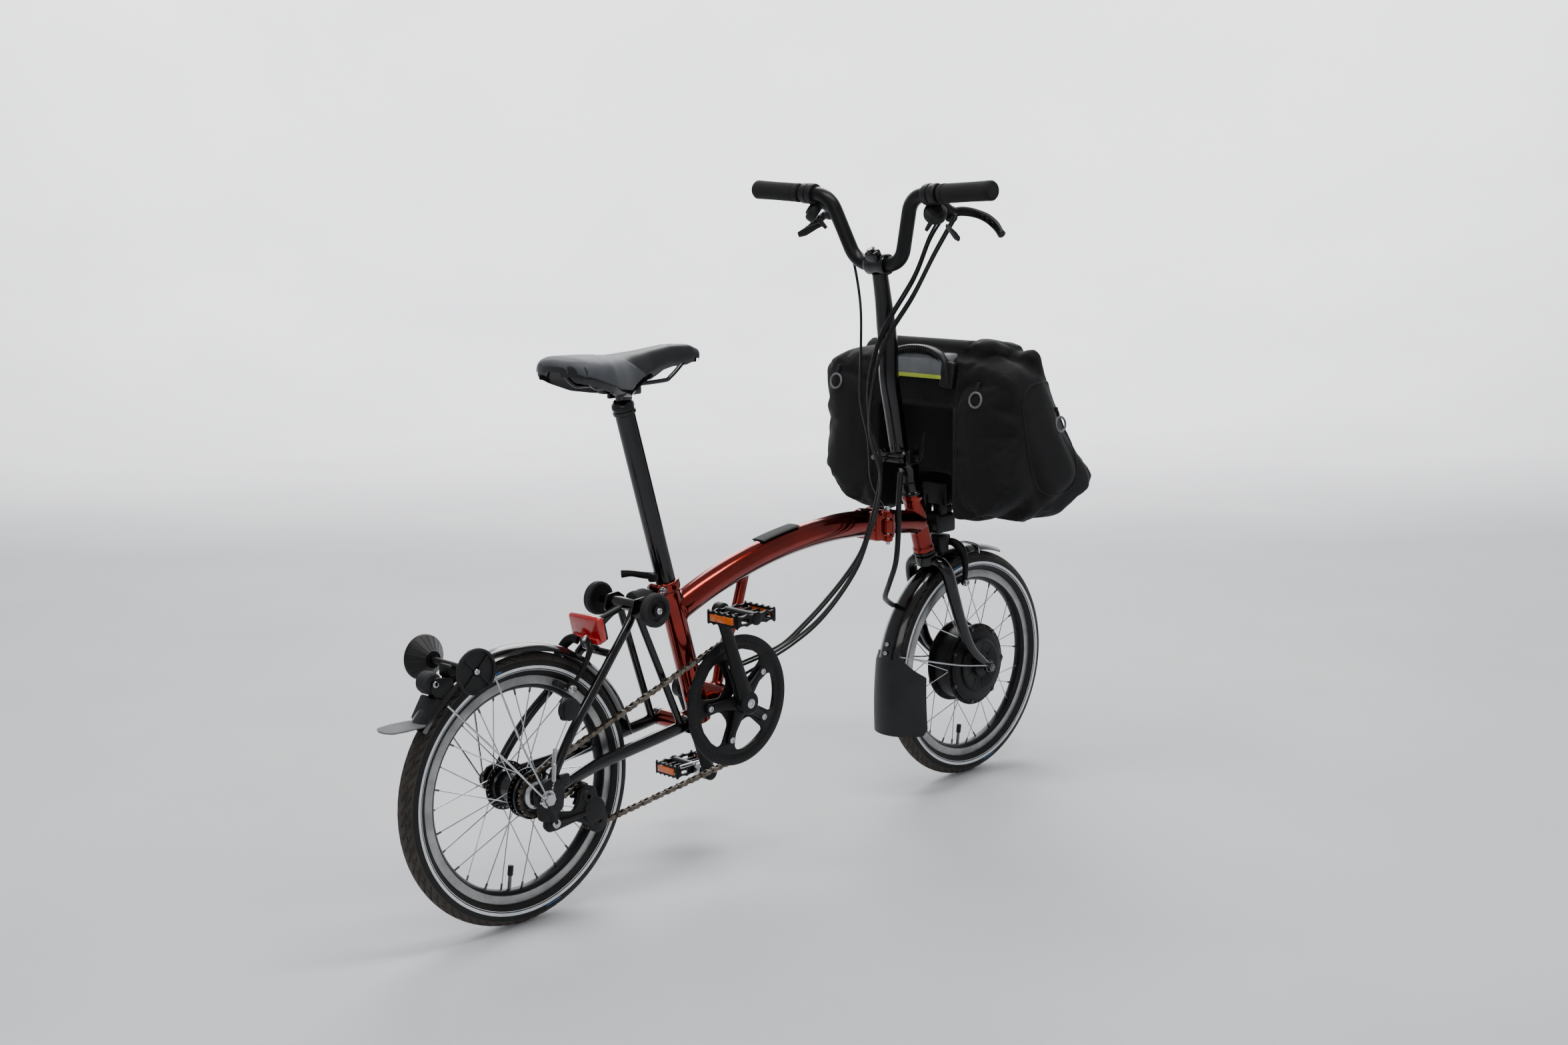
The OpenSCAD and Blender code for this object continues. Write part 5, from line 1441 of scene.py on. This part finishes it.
@dataclass
class Seat:
    """Seatpost, its quick-release lever and the saddle with its rails."""

    back: float = 96.0
    nose: float = 387.0
    rail_y: float = 22.0

    def half_width(self, x: float) -> float:
        """Returns half the saddle's width at x."""
        return float(np.interp(x, [96, 100, 112, 135, 160, 190, 225, 270, 320, 365, 382, 387],
            [20, 42, 60, 69, 69, 57, 38, 25, 20, 17, 11, 3]))

    def top(self, x: float) -> float:
        """Returns the height of the saddle's ridge at x."""
        return float(np.interp(x, [96, 104, 120, 160, 210, 260, 320, 360, 380, 387],
            [838, 847, 852, 851, 848, 851, 857, 854, 846, 836]))

    def skirt(self, x: float) -> float:
        """Returns how far the saddle's side edge lies under its ridge at x."""
        return float(np.interp(x, [96, 110, 140, 175, 215, 245, 290, 350, 387],
            [8, 22, 34, 46, 50, 36, 24, 20, 6]))

    def skin(self, x: float, a: float, proud: float = 0.0) -> tuple[float, float, float]:
        """Returns a point of the saddle's skin.

        Args:
            x: the place along the saddle.
            a: from -1 at the right edge to 1 at the left edge.
            proud: how far outside the skin.
        """
        w, deep = self.half_width(x), self.skirt(x)
        y = w * math.sin(a * math.pi / 2) ** 1 if abs(a) < 1 else w * a
        dip = 2.0 * math.exp(-(y / 9) ** 2) if 130 < x < 330 else 0
        return x, y + proud * math.sin(a * 1.4), self.top(x) - deep * abs(a) ** 3.2 - dip + proud * math.cos(a * 1.4)

    def saddle(self) -> None:
        """Builds the padded cover with its lighter rear panel, the glossy shell under it and the rails."""
        span = np.concatenate([np.linspace(self.back, 112, 8)[:-1], np.linspace(112, 372, 60),
            np.linspace(372, self.nose, 10)[1:]])
        across = np.linspace(-1, 1, 41)
        rows = []
        for x in span:
            upper = [self.skin(x, a) for a in across]
            lower = [(q[0], q[1] * 0.93, q[2] - 5 - 2 * (1 - abs(a))) for q,
                a in zip(upper[::-1], across[::-1])]
            rows.append(upper + lower)
        made = Shape().grid(np.array(rows)).piece("saddle_padding", SADDLE_SKIN, "saddle", "saddle",
            ["saddle_cover"], 70)
        panel = []
        for t in np.linspace(0, 1, 24):
            ends = [98 + (88 + 66 * abs(a) ** 1.6) * t for a in across]
            panel.append([self.skin(x, a, 0.7) for x, a in zip(ends, across)]
                + [self.skin(x, a, -1.5) for x, a in zip(ends[::-1], across[::-1])])
        Shape().grid(np.array(panel)).piece("saddle_rear_panel", SADDLE_PANEL, "saddle", "saddle", (), 70)
        rows = []
        for x in np.linspace(self.back + 6, self.nose - 14, 50):
            edge = [self.skin(x, a) for a in across]
            outer = [(q[0], q[1] * 0.985, q[2] - 5.5) for q in edge]
            inner = [(q[0], q[1] * 0.9, q[2] - 12) for q in edge[::-1]]
            rows.append(outer + inner)
        Shape().grid(np.array(rows)).piece("saddle_shell", GLOSS, "saddle", "saddle", (), 50)
        frame_ = Shape()
        for way in (1, -1):
            rail = [(132, 34, 836), (140, 27, 822), (152, 24, 808), (172, self.rail_y, 803),
                (288, self.rail_y, 803), (312, 20, 808), (350, 13, 832), (358, 11, 842)]
            frame_.tube(curve_through(rail, 4) * [1, way, 1], 3.5, 16)
            frame_.block((224, 20 * way, 797), (44, 16, 20), 3)
            frame_.block((224, 17 * way, 789), (18, 7, 20), 2)
        frame_.rod((224, -22, 791.8), (224, 22, 791.8), 3)
        frame_.block((224, 0, 806), (40, 50, 5), 1.5)
        for spot in ((132, 30, 838), (132, -30, 838), (358, 0, 842)):
            frame_.block(spot, (16, 14, 9), 2)
        frame_.piece("saddle_rails_and_clamp", POWDER, "saddle", "black_paint", ["saddle_base"])
        steel = Shape()
        bolt(steel, (224, -28, 797), (0, -1, 0), 4.5, 3)
        bolt(steel, (224, 28, 797), (0, 1, 0), 4.5, 3)
        steel.piece("saddle_clamp_bolts", STEEL, "saddle", "steel")

    def post(self) -> None:
        """Builds the seatpost and the lever of its clamp."""
        top, low = np.array([226.5, 0, 781.8]), np.array([309.4, 0, 481.0])
        way = unit(top - low)
        post = Shape().rod(low - 90 * way, top - 10 * way, 15.9, sides=48)
        post.turned(top - 28 * way, [(15.9, 0), (18.5, 2), (18.5, 7), (16.8, 8), (16.8, 11), (18.5, 12),
            (18, 18), (13, 24), (8, 25)], way)
        post.rod(top - 12 * way, (224, 0, 791), 9).rod((224, -13, 791.8), (224, 13, 791.8), 9)
        post.piece("seatpost_tube", POWDER, "seatpost", "black_paint", ["seatpost"])
        lever = Shape().turned((276, -7, 486), [(6.5, 0), (8, 2), (8, 12), (6, 14), (0, 14)], (0, 0, 1), 28)
        lever.tube(curve_through([(274, -6, 495), (266, 8, 496), (256, 22, 498), (246, 34, 497)], 3),
            [6, 5.5, 5, 6.5], 18, flat=0.6, up=(0, 0, 1))
        lever.piece("seatpost_lever", ANODISED, "seat_lever", "satin_black", ["seat_lever"])

    def build(self) -> None:
        """Builds the seat."""
        self.saddle()
        self.post()


# ---- bag ----

@dataclass
class Bag:
    """Soft wedge-shaped front bag with three pockets, ring pulls, a stiff handle and the battery inside."""

    half: float = 208.0
    voxel: float = 5.5
    puff: float = 11.0
    far_side: float = 1.08

    def outline(self, y: float) -> list[tuple[float, float]]:
        """Returns the bag's side outline at y, with the recess for the handlepost in its back."""
        back = 958 if abs(y) < 86 else 904
        low = 578 if abs(y) < 38 else 510 + 62 * max(0.0, (abs(y) - 110) / 98) ** 2
        near = 1008 if abs(y) < 38 else 960
        drop = 26 * (abs(y) / self.half) ** 2.2
        return [(back, low), (near, low - 4), (near + 4, 510), (1064, 510), (1150, 548), (1144, 578),
            (1078, 672), (1000, 792 - drop), (952, 802 - drop), (912, 794 - drop), (907, 708), (back, 696),
            (back, 640)]

    def loft(self) -> Shape:
        """Returns the bag's body and pockets as overlapping solids."""
        rows = []
        for y in sorted([*np.linspace(-self.half, self.half, 30), -86.1, -85.9, 85.9, 86.1, -38.1, -37.9, 37.9,
                38.1]):
            edge = max(0.0, abs(y) - self.half + 40) / 40
            shrink = 1 - 0.09 * edge ** 2.5
            middle = np.array([1000, 640])
            side = y * (self.far_side if y > 86.1 else 1)
            rows.append([(*(middle + (np.array(q) - middle) * shrink), side) for q in self.outline(y)])
        body = Shape().grid(np.array(rows)[:, :, [0, 2, 1]])
        slope = math.degrees(math.atan2(792 - 578, 1144 - 1000))
        body.block((1072, -4, 682), (290, 396, 30), 14, (0, slope, 0))
        body.block((978, -20, 800), (92, 270, 34), 15, (0, 8, 0))
        for way, out in ((1, 14), (-1, 2)):
            body.block((950, way * (150 + out), 648), (98, 106, 222), 34, (4 * way, -2, 0))
            body.block((1004, way * (186 + out), 640), (108, 52, 196), 24, (4 * way, -28, 0))
        return body

    def shell(self) -> None:
        """Builds the fabric: a loft, remeshed evenly, then blown up a little by a cloth simulation."""
        mesh = self.loft().mesh("bag_fabric_shell", 180)
        made = bpy.data.objects.new("bag_fabric_shell", mesh)
        bpy.context.scene.collection.objects.link(made)
        even = made.modifiers.new("even", "REMESH")
        even.mode, even.voxel_size, even.use_smooth_shade = "VOXEL", self.voxel / 1000, True
        soft = made.modifiers.new("soft", "SMOOTH")
        soft.iterations, soft.factor = 6, 0.5
        self.apply(made)
        self.inflate(made)
        finer = made.modifiers.new("finer", "SUBSURF")
        finer.levels = finer.render_levels = 1
        self.apply(made)
        made.data.shade_smooth()
        settle(made, FABRIC, "bag", ["bag"])
        self.skin = made

    @staticmethod
    def apply(made: bpy.types.Object) -> None:
        """Replaces a piece's mesh by what its modifiers make of it."""
        graph = bpy.context.evaluated_depsgraph_get()
        graph.update()
        mesh = bpy.data.meshes.new_from_object(made.evaluated_get(graph))
        made.modifiers.clear()
        old, made.data = made.data, mesh
        name = old.name
        bpy.data.meshes.remove(old)
        mesh.name = name

    def inflate(self, made: bpy.types.Object) -> None:
        """Runs the cloth for twenty frames with its back held, and limits how far any point has moved."""
        before = np.array([v.co[:] for v in made.data.vertices])
        group = made.vertex_groups.new(name="held")
        x, y = before[:, 0] * 1000 - REAR_X, np.abs(before[:, 1]) * 1000
        held = [int(i) for i in np.where((y < 92) & (x < 1012))[0]]
        group.add(held, 1.0, "REPLACE")
        cloth = made.modifiers.new("cloth", "CLOTH")
        cloth.settings.quality, cloth.settings.mass = 5, 0.25
        cloth.settings.use_pressure, cloth.settings.uniform_pressure_force = True, 4.0
        cloth.settings.vertex_group_mass = "held"
        cloth.settings.shrink_min = -0.06
        cloth.settings.bending_stiffness = 0.15
        cloth.settings.effector_weights.gravity = 0
        scene = bpy.context.scene
        scene.frame_start, scene.frame_end = 1, 20
        for number in range(1, 21):
            scene.frame_set(number)
        after = np.array([v.co[:]
            for v in made.evaluated_get(bpy.context.evaluated_depsgraph_get()).data.vertices])
        move = after - before
        far = np.linalg.norm(move, axis=1, keepdims=True)
        limit = self.puff / 1000
        after = before + move * np.minimum(1, limit * np.tanh(far / limit) / np.maximum(far, 1e-9))
        made.modifiers.clear()
        made.vertex_groups.clear()
        for vertex, co in zip(made.data.vertices, after):
            vertex.co = co
        scene.frame_set(1)
        LOG.info("bag: cloth moved up to %.1f mm", float(far.max()) * 1000)

    def seam(self, shape: Shape, lines: Iterable[tuple[Point, Point]], radius: float) -> None:
        """Lays a round piping on the fabric where a row of lines meets it.

        Args:
            shape: the shape that gets the piping.
            lines: each line's start and direction.
            radius: the piping's radius.
        """
        found = [self.on_skin(start, way, radius * 0.3) for start, way in lines]
        found = [p for p in found if p is not None]
        if len(found) > 3:
            smooth = np.array(found)
            smooth[1:-1] = (smooth[:-2] + 2 * smooth[1:-1] + smooth[2:]) / 4
            shape.tube(smooth, radius, 10)

    def on_skin(self, start: Point, way: Point, lift: float = 0.6) -> np.ndarray | None:
        """Returns where a line from `start` first meets the fabric, raised a little, in millimetres, or None."""
        origin = Vector((start[0] + REAR_X, start[1], start[2])) / 1000
        hit, place, normal, _ = self.skin.ray_cast(origin, Vector(way).normalized())
        return np.array(place) * 1000 - [REAR_X, 0, 0] + np.array(normal) * lift if hit else None

    def trims(self) -> None:
        """Builds the seams, zips, ring pulls, handle, battery top and carrier bar."""
        piping = Shape()
        for way in (1, -1):
            round_ = np.linspace(0, 2 * math.pi, 90)
            self.seam(piping, [((1014 + 66 * squarish(math.cos(a)) - 22 * squarish(math.sin(a)), 300 * way, 652
                + 100 * squarish(math.sin(a))), (0, -way, 0)) for a in round_], 1.4)
            self.seam(piping, [((800, 100 * way, z), (1, 0, 0)) for z in np.linspace(540, 770, 40)], 1.3)
        lean = np.array([-0.829, 0, -0.558])
        for y in (-172, 160):
            self.seam(piping, [(np.array([1072 + 0.558 * t, y, 685 - 0.829 * t]) - 160 * lean, lean)
                for t in np.linspace(-120, 118, 44)], 1.5)
        for y0, y1, t in ((-172, 160, -96), (-172, 160, 96)):
            self.seam(piping, [(np.array([1072 + 0.558 * t, y, 685 - 0.829 * t]) - 160 * lean, lean)
                for y in np.linspace(y0, y1, 60)], 1.5)
        piping.piece("bag_piping", WEBBING, "bag", "bag_fabric")
        pulls, cords = Shape(), Shape()
        for start, way, down in (((840, 178, 762), (1, 0, 0), (-0.2, 0, -1)),
                ((840, -150, 752), (1, 0, 0), (-0.2, 0, -1)), ((1040, -300, 700), (0, 1, 0), (0.1, -0.15, -1))):
            place = self.on_skin(start, way, 3)
            if place is None:
                continue
            down = unit(np.array(down))
            across = unit(np.cross(way, down))
            middle = place + down * 27 - np.array(way) * 5
            ring = [middle + 13 * (math.cos(a) * across + math.sin(a) * down)
                for a in np.linspace(0, 2 * math.pi, 41)]
            pulls.tube(ring, 2.0, 12)
            cords.tube(curve_through([place, place + down * 8 - np.array(way) * 3, place + down * 14
                - np.array(way) * 3], 2), [3.6, 3, 2.6], 10)
            cords.block(place, (7, 7, 7), 2)
        pulls.piece("zip_rings", GREY_FLAP, "bag", "black_plastic")
        cords.piece("zip_pull_cords", WEBBING, "bag", "bag_fabric")
        handle = Shape().tube(curve_through([(902, -84, 748), (900, -82, 772), (903, -70, 792), (908, -36, 804),
            (908, 10, 806), (904, 54, 794), (900, 70, 772), (902, 72, 748)], 4), [9, 10, 10.5, 11, 10.5, 10, 9],
            20, flat=0.55, up=(1, 0, 0))
        for way in (1, -1):
            handle.block((903, 74 * way - 6, 764), (13, 30, 48), 5, (-8 * way, 0, 0))
        for y in np.linspace(-62, 48, 22):
            z = 806 - 17 * abs((y + 8) / 62) ** 2.4
            handle.block((908, y, z - 1), (21, 2.6, 14), 1)
        handle.piece("bag_handle", NYLON, "bag", "black_plastic")
        battery = Shape().block((926, -8, 786), (50, 150, 26), 9).block((904, -8, 774), (12, 134, 34), 4)
        battery.piece("battery_top", BATTERY_GREY, "bag", "battery", ["battery"])
        lime = Shape().block((897.6, -8, 759), (2.4, 122, 7), 0.8)
        lime.piece("battery_strip", LIME, "bag", "battery")
        lamps = Shape()
        for k in range(4):
            lamps.rod((920, -44 + 12 * k, 798.6), (920, -44 + 12 * k, 799.8), 2.2, sides=14, edge=0.4)
        lamps.piece("battery_level_lights", REFLECTIVE, "bag", "battery")
        bar = Shape().tube(rounded([(1000, -150, 560), (1012, -150, 499), (1040, -150, 499), (1040, 150, 499),
            (1012, 150, 499), (1000, 150, 560)], 16), 4.5, 16)
        bar.piece("bag_carrier_bar", DARK_STEEL, "bag", "steel")

    def build(self) -> None:
        """Builds the bag."""
        self.shell()
        self.trims()


# ---- cables ----

REAR_CORD = [(838, -128, 1040), (838, -96, 1000), (846, -52, 930), (812, -12, 840), (792, 2, 760),
    (778, -10, 690), (784, -30, 620), (766, -40, 565), (741, -44, 515), (718, -44, 470), (680, -42, 432),
    (632, -40, 396), (585, -38, 366), (535, -34, 338), (480, -30, 327), (430, -24, 318)]
GEAR_CORD = [(838, -150, 1034), (834, -108, 972), (834, -60, 900), (806, -20, 820), (784, -10, 740),
    (766, -20, 670), (770, -40, 600), (752, -52, 550), (728, -52, 498), (700, -52, 450), (655, -50, 404),
    (605, -46, 366), (550, -42, 340), (495, -38, 322), (445, -31, 306)]
FRONT_CORD = [(838, 128, 1040), (836, 88, 980), (828, 58, 890), (814, 44, 800), (806, 38, 720), (812, 26, 650),
    (842, 46, 570), (880, 46, 520), (935, 40, 470), (972, 28, 447)]
# Two more lines run beside the first two, a cable's width away.
LAMP_CORD = [(x - 9, y - 6, z + 7) for x, y, z in REAR_CORD]
SECOND_CORD = [(x - 7, y - 7, z + 9) for x, y, z in GEAR_CORD[:-1]]
MOTOR_CORD = [(830, -34, 596), (818, -40, 545), (814, -42, 490), (812, -38, 440), (822, -14, 398),
    (850, 22, 364), (885, 48, 345), (925, 60, 322), (965, 68, 285), (1005, 72, 245), (1036, 72, 219)]


@dataclass(frozen=True)
class Stretch:
    """One stretch of a cable: it ends beside `until`; with no `b` it rides on body `a`, and with a `b` it is left free
    where it lies.
    """

    name: str
    until: tuple
    a: str
    b: str = ""


@dataclass(frozen=True)
class Cable:
    """A cable along its route, cut into stretches at the joints that it passes."""

    route: list
    radius: float
    stretches: tuple
    node: str

    def build(self) -> None:
        line = curve_through(self.route, 5)
        start = 0
        for number, part in enumerate(self.stretches):
            near = np.linalg.norm(line - np.array(part.until), axis=1)
            end = int(np.argmin(near)) if number < len(self.stretches) - 1 else len(line) - 1
            path = line[start:end + 1]
            metres = (path + [REAR_X, 0, 0]) / 1000
            mesh = Shape().tube(path, self.radius, 16).mesh(part.name, 60)
            made = bpy.data.objects.new(part.name, mesh)
            bpy.context.scene.collection.objects.link(made)
            made.data.materials.append(CABLE_SKIN.material())
            if part.b:
                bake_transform(made)
            else:
                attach(made, part.a)
            if number == 0:
                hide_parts(self.node)
            length = float(np.linalg.norm(np.diff(metres, axis=0), axis=1).sum())
            LOG.info("%s: %.3f m", part.name, length)
            start = end


CABLES = (Cable(REAR_CORD, 2.5, (Stretch("rear_brake_cable_upper", (784, -30, 620), "stem", "fork"),
    Stretch("rear_brake_cable_middle", (741, -44, 515), "fork", "front_frame"),
    Stretch("rear_brake_cable_lower", (632, -40, 396), "front_frame", "main_frame"),
    Stretch("rear_brake_cable_end", (430, -24, 318), "main_frame")), "control_cables"),
    Cable(GEAR_CORD, 2.5, (Stretch("gear_cable_upper", (770, -40, 600), "stem", "fork"),
    Stretch("gear_cable_middle", (728, -52, 498), "fork", "front_frame"),
    Stretch("gear_cable_lower", (605, -46, 366), "front_frame", "main_frame"),
    Stretch("gear_cable_end", (445, -31, 306), "main_frame")), "control_cables"),
    Cable(FRONT_CORD, 2.5, (Stretch("front_brake_cable_upper", (812, 26, 650), "stem", "fork"),
    Stretch("front_brake_cable_end", (972, 28, 447), "fork")), "control_cables"),
    Cable(LAMP_CORD, 2.2, (Stretch("lamp_cable_upper", (775, -36, 627), "stem", "fork"),
    Stretch("lamp_cable_middle", (732, -50, 522), "fork", "front_frame"),
    Stretch("lamp_cable_lower", (623, -46, 403), "front_frame", "main_frame"),
    Stretch("lamp_cable_end", (421, -30, 325), "main_frame")), "control_cables"),
    Cable(SECOND_CORD, 2.5, (Stretch("second_gear_cable_upper", (763, -47, 609), "stem", "fork"),
    Stretch("second_gear_cable_middle", (721, -59, 507), "fork", "front_frame"),
    Stretch("second_gear_cable_lower", (598, -53, 375), "front_frame", "main_frame"),
    Stretch("second_gear_cable_end", (488, -45, 331), "main_frame")), "control_cables"),
    Cable(MOTOR_CORD, 5.0, (Stretch("motor_cable_hose", (1036, 72, 219), "fork"),), "motor_cable"),)


# ---- studio ----

def studio() -> None:
    """Builds the pale floor that curves up into a wall all round, the soft lights and the world's light."""
    rows = []
    profile = [(0.0001, 0.0), (2.0, 0.0), (5.0, 0.0)] + [(5 + 3 * math.sin(a), 3 - 3 * math.cos(a))
        for a in np.linspace(0.1, 1.5, 14)]
    profile += [(8.0, 6.0)]
    for r, z in profile:
        rows.append([(1000 * r * math.cos(a) - REAR_X, 1000 * r * math.sin(a), 1000 * z - 0.5)
            for a in np.linspace(0, 2 * math.pi, 96, endpoint=False)])
    mesh = Shape().grid(np.array(rows), caps=False).mesh("studio_floor", 180)
    floor = bpy.data.objects.new("studio_floor", mesh)
    floor.data.materials.append(FLOOR.material())
    bpy.context.scene.collection.objects.link(floor)
    for name, place, aim, size, power in (("high_strip", (-0.3, -0.5, 3.6), (0, 0, 0.5), (3.4, 0.5), 95),
            ("wall_wash_left", (1.5, 4.5, 3.6), (4.5, 7.5, 1.6), (3.0, 2.0), 420),
            ("wall_wash_right", (4.5, 1.5, 3.6), (7.5, 4.5, 1.6), (3.0, 2.0), 420),
            ("far_softbox", (2.6, 2.6, 3.8), (0, 0, 0.4), (2.6, 2.6), 150),
            ("near_fill", (-3.4, -2.6, 2.6), (0, 0, 0.5), (2.4, 1.8), 26)):
        data = bpy.data.lights.new(name, "AREA")
        data.shape, data.size, data.size_y, data.energy = "RECTANGLE", size[0], size[1], power
        lamp = bpy.data.objects.new(name, data)
        lamp.location = place
        lamp.rotation_euler = (Vector(aim) - Vector(place)).to_track_quat("-Z", "Y").to_euler()
        bpy.context.scene.collection.objects.link(lamp)
    world = bpy.data.worlds.new("studio_air")
    world.use_nodes = True
    sky = world.node_tree.nodes["Background"]
    sky.inputs[0].default_value, sky.inputs[1].default_value = linear("#EDEFF2"), 0.45
    bpy.context.scene.world = world


def camera() -> None:
    """Stands the camera behind the bicycle's right side, at the height of the bag's top."""
    azimuth, elevation, roll = (math.radians(a) for a in (45.231, -10.294, -0.794))
    way = Vector((math.cos(elevation) * math.cos(azimuth), math.cos(elevation) * math.sin(azimuth),
        math.sin(elevation)))
    right = way.cross(Vector((0, 0, 1))).normalized()
    up = right.cross(way)
    right, up = math.cos(roll) * right + math.sin(roll) * up, math.cos(roll) * up - math.sin(roll) * right
    data = bpy.data.cameras.new("camera")
    data.sensor_fit, data.sensor_width, data.lens = "HORIZONTAL", 36.0, 46.76
    made = bpy.data.objects.new("camera", data)
    made.matrix_world = Matrix.Translation((-2.29749, -2.38204, 1.14769)) @ Matrix((right, up,
        -way)).transposed().to_4x4()
    bpy.context.scene.collection.objects.link(made)
    bpy.context.scene.camera = made


def finish_nodes() -> None:
    """Gives every CAD node still showing the finish of its slot."""
    for name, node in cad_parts.items():
        if node.hide_render:
            continue
        slot = NODE_SLOTS.get(name, "satin_black")
        node.data.materials.clear()
        node.data.materials.append(BY_SLOT[slot].material())
        LOG.info("%s: CAD node kept", name)


def main() -> None:
    """Builds every sub-assembly, then the studio."""
    logging.basicConfig(level=logging.INFO, format="%(message)s")
    random.seed(7)
    np.random.seed(7)
    Wheel(REAR, "rear", 34.6, 26.0).build()
    Wheel(FRONT, "front", 72.6, 24.0).build()
    Hubs().build()
    main_frame = MainFrame()
    main_frame.build()
    RearFrame().build()
    Drive().build()
    Brakes().build()
    Fork(main_frame).build()
    Handlepost().build()
    Seat().build()
    Bag().build()
    for cable in CABLES:
        cable.build()
    finish_nodes()
    studio()
    camera()


if __name__ == "__main__":
    main()
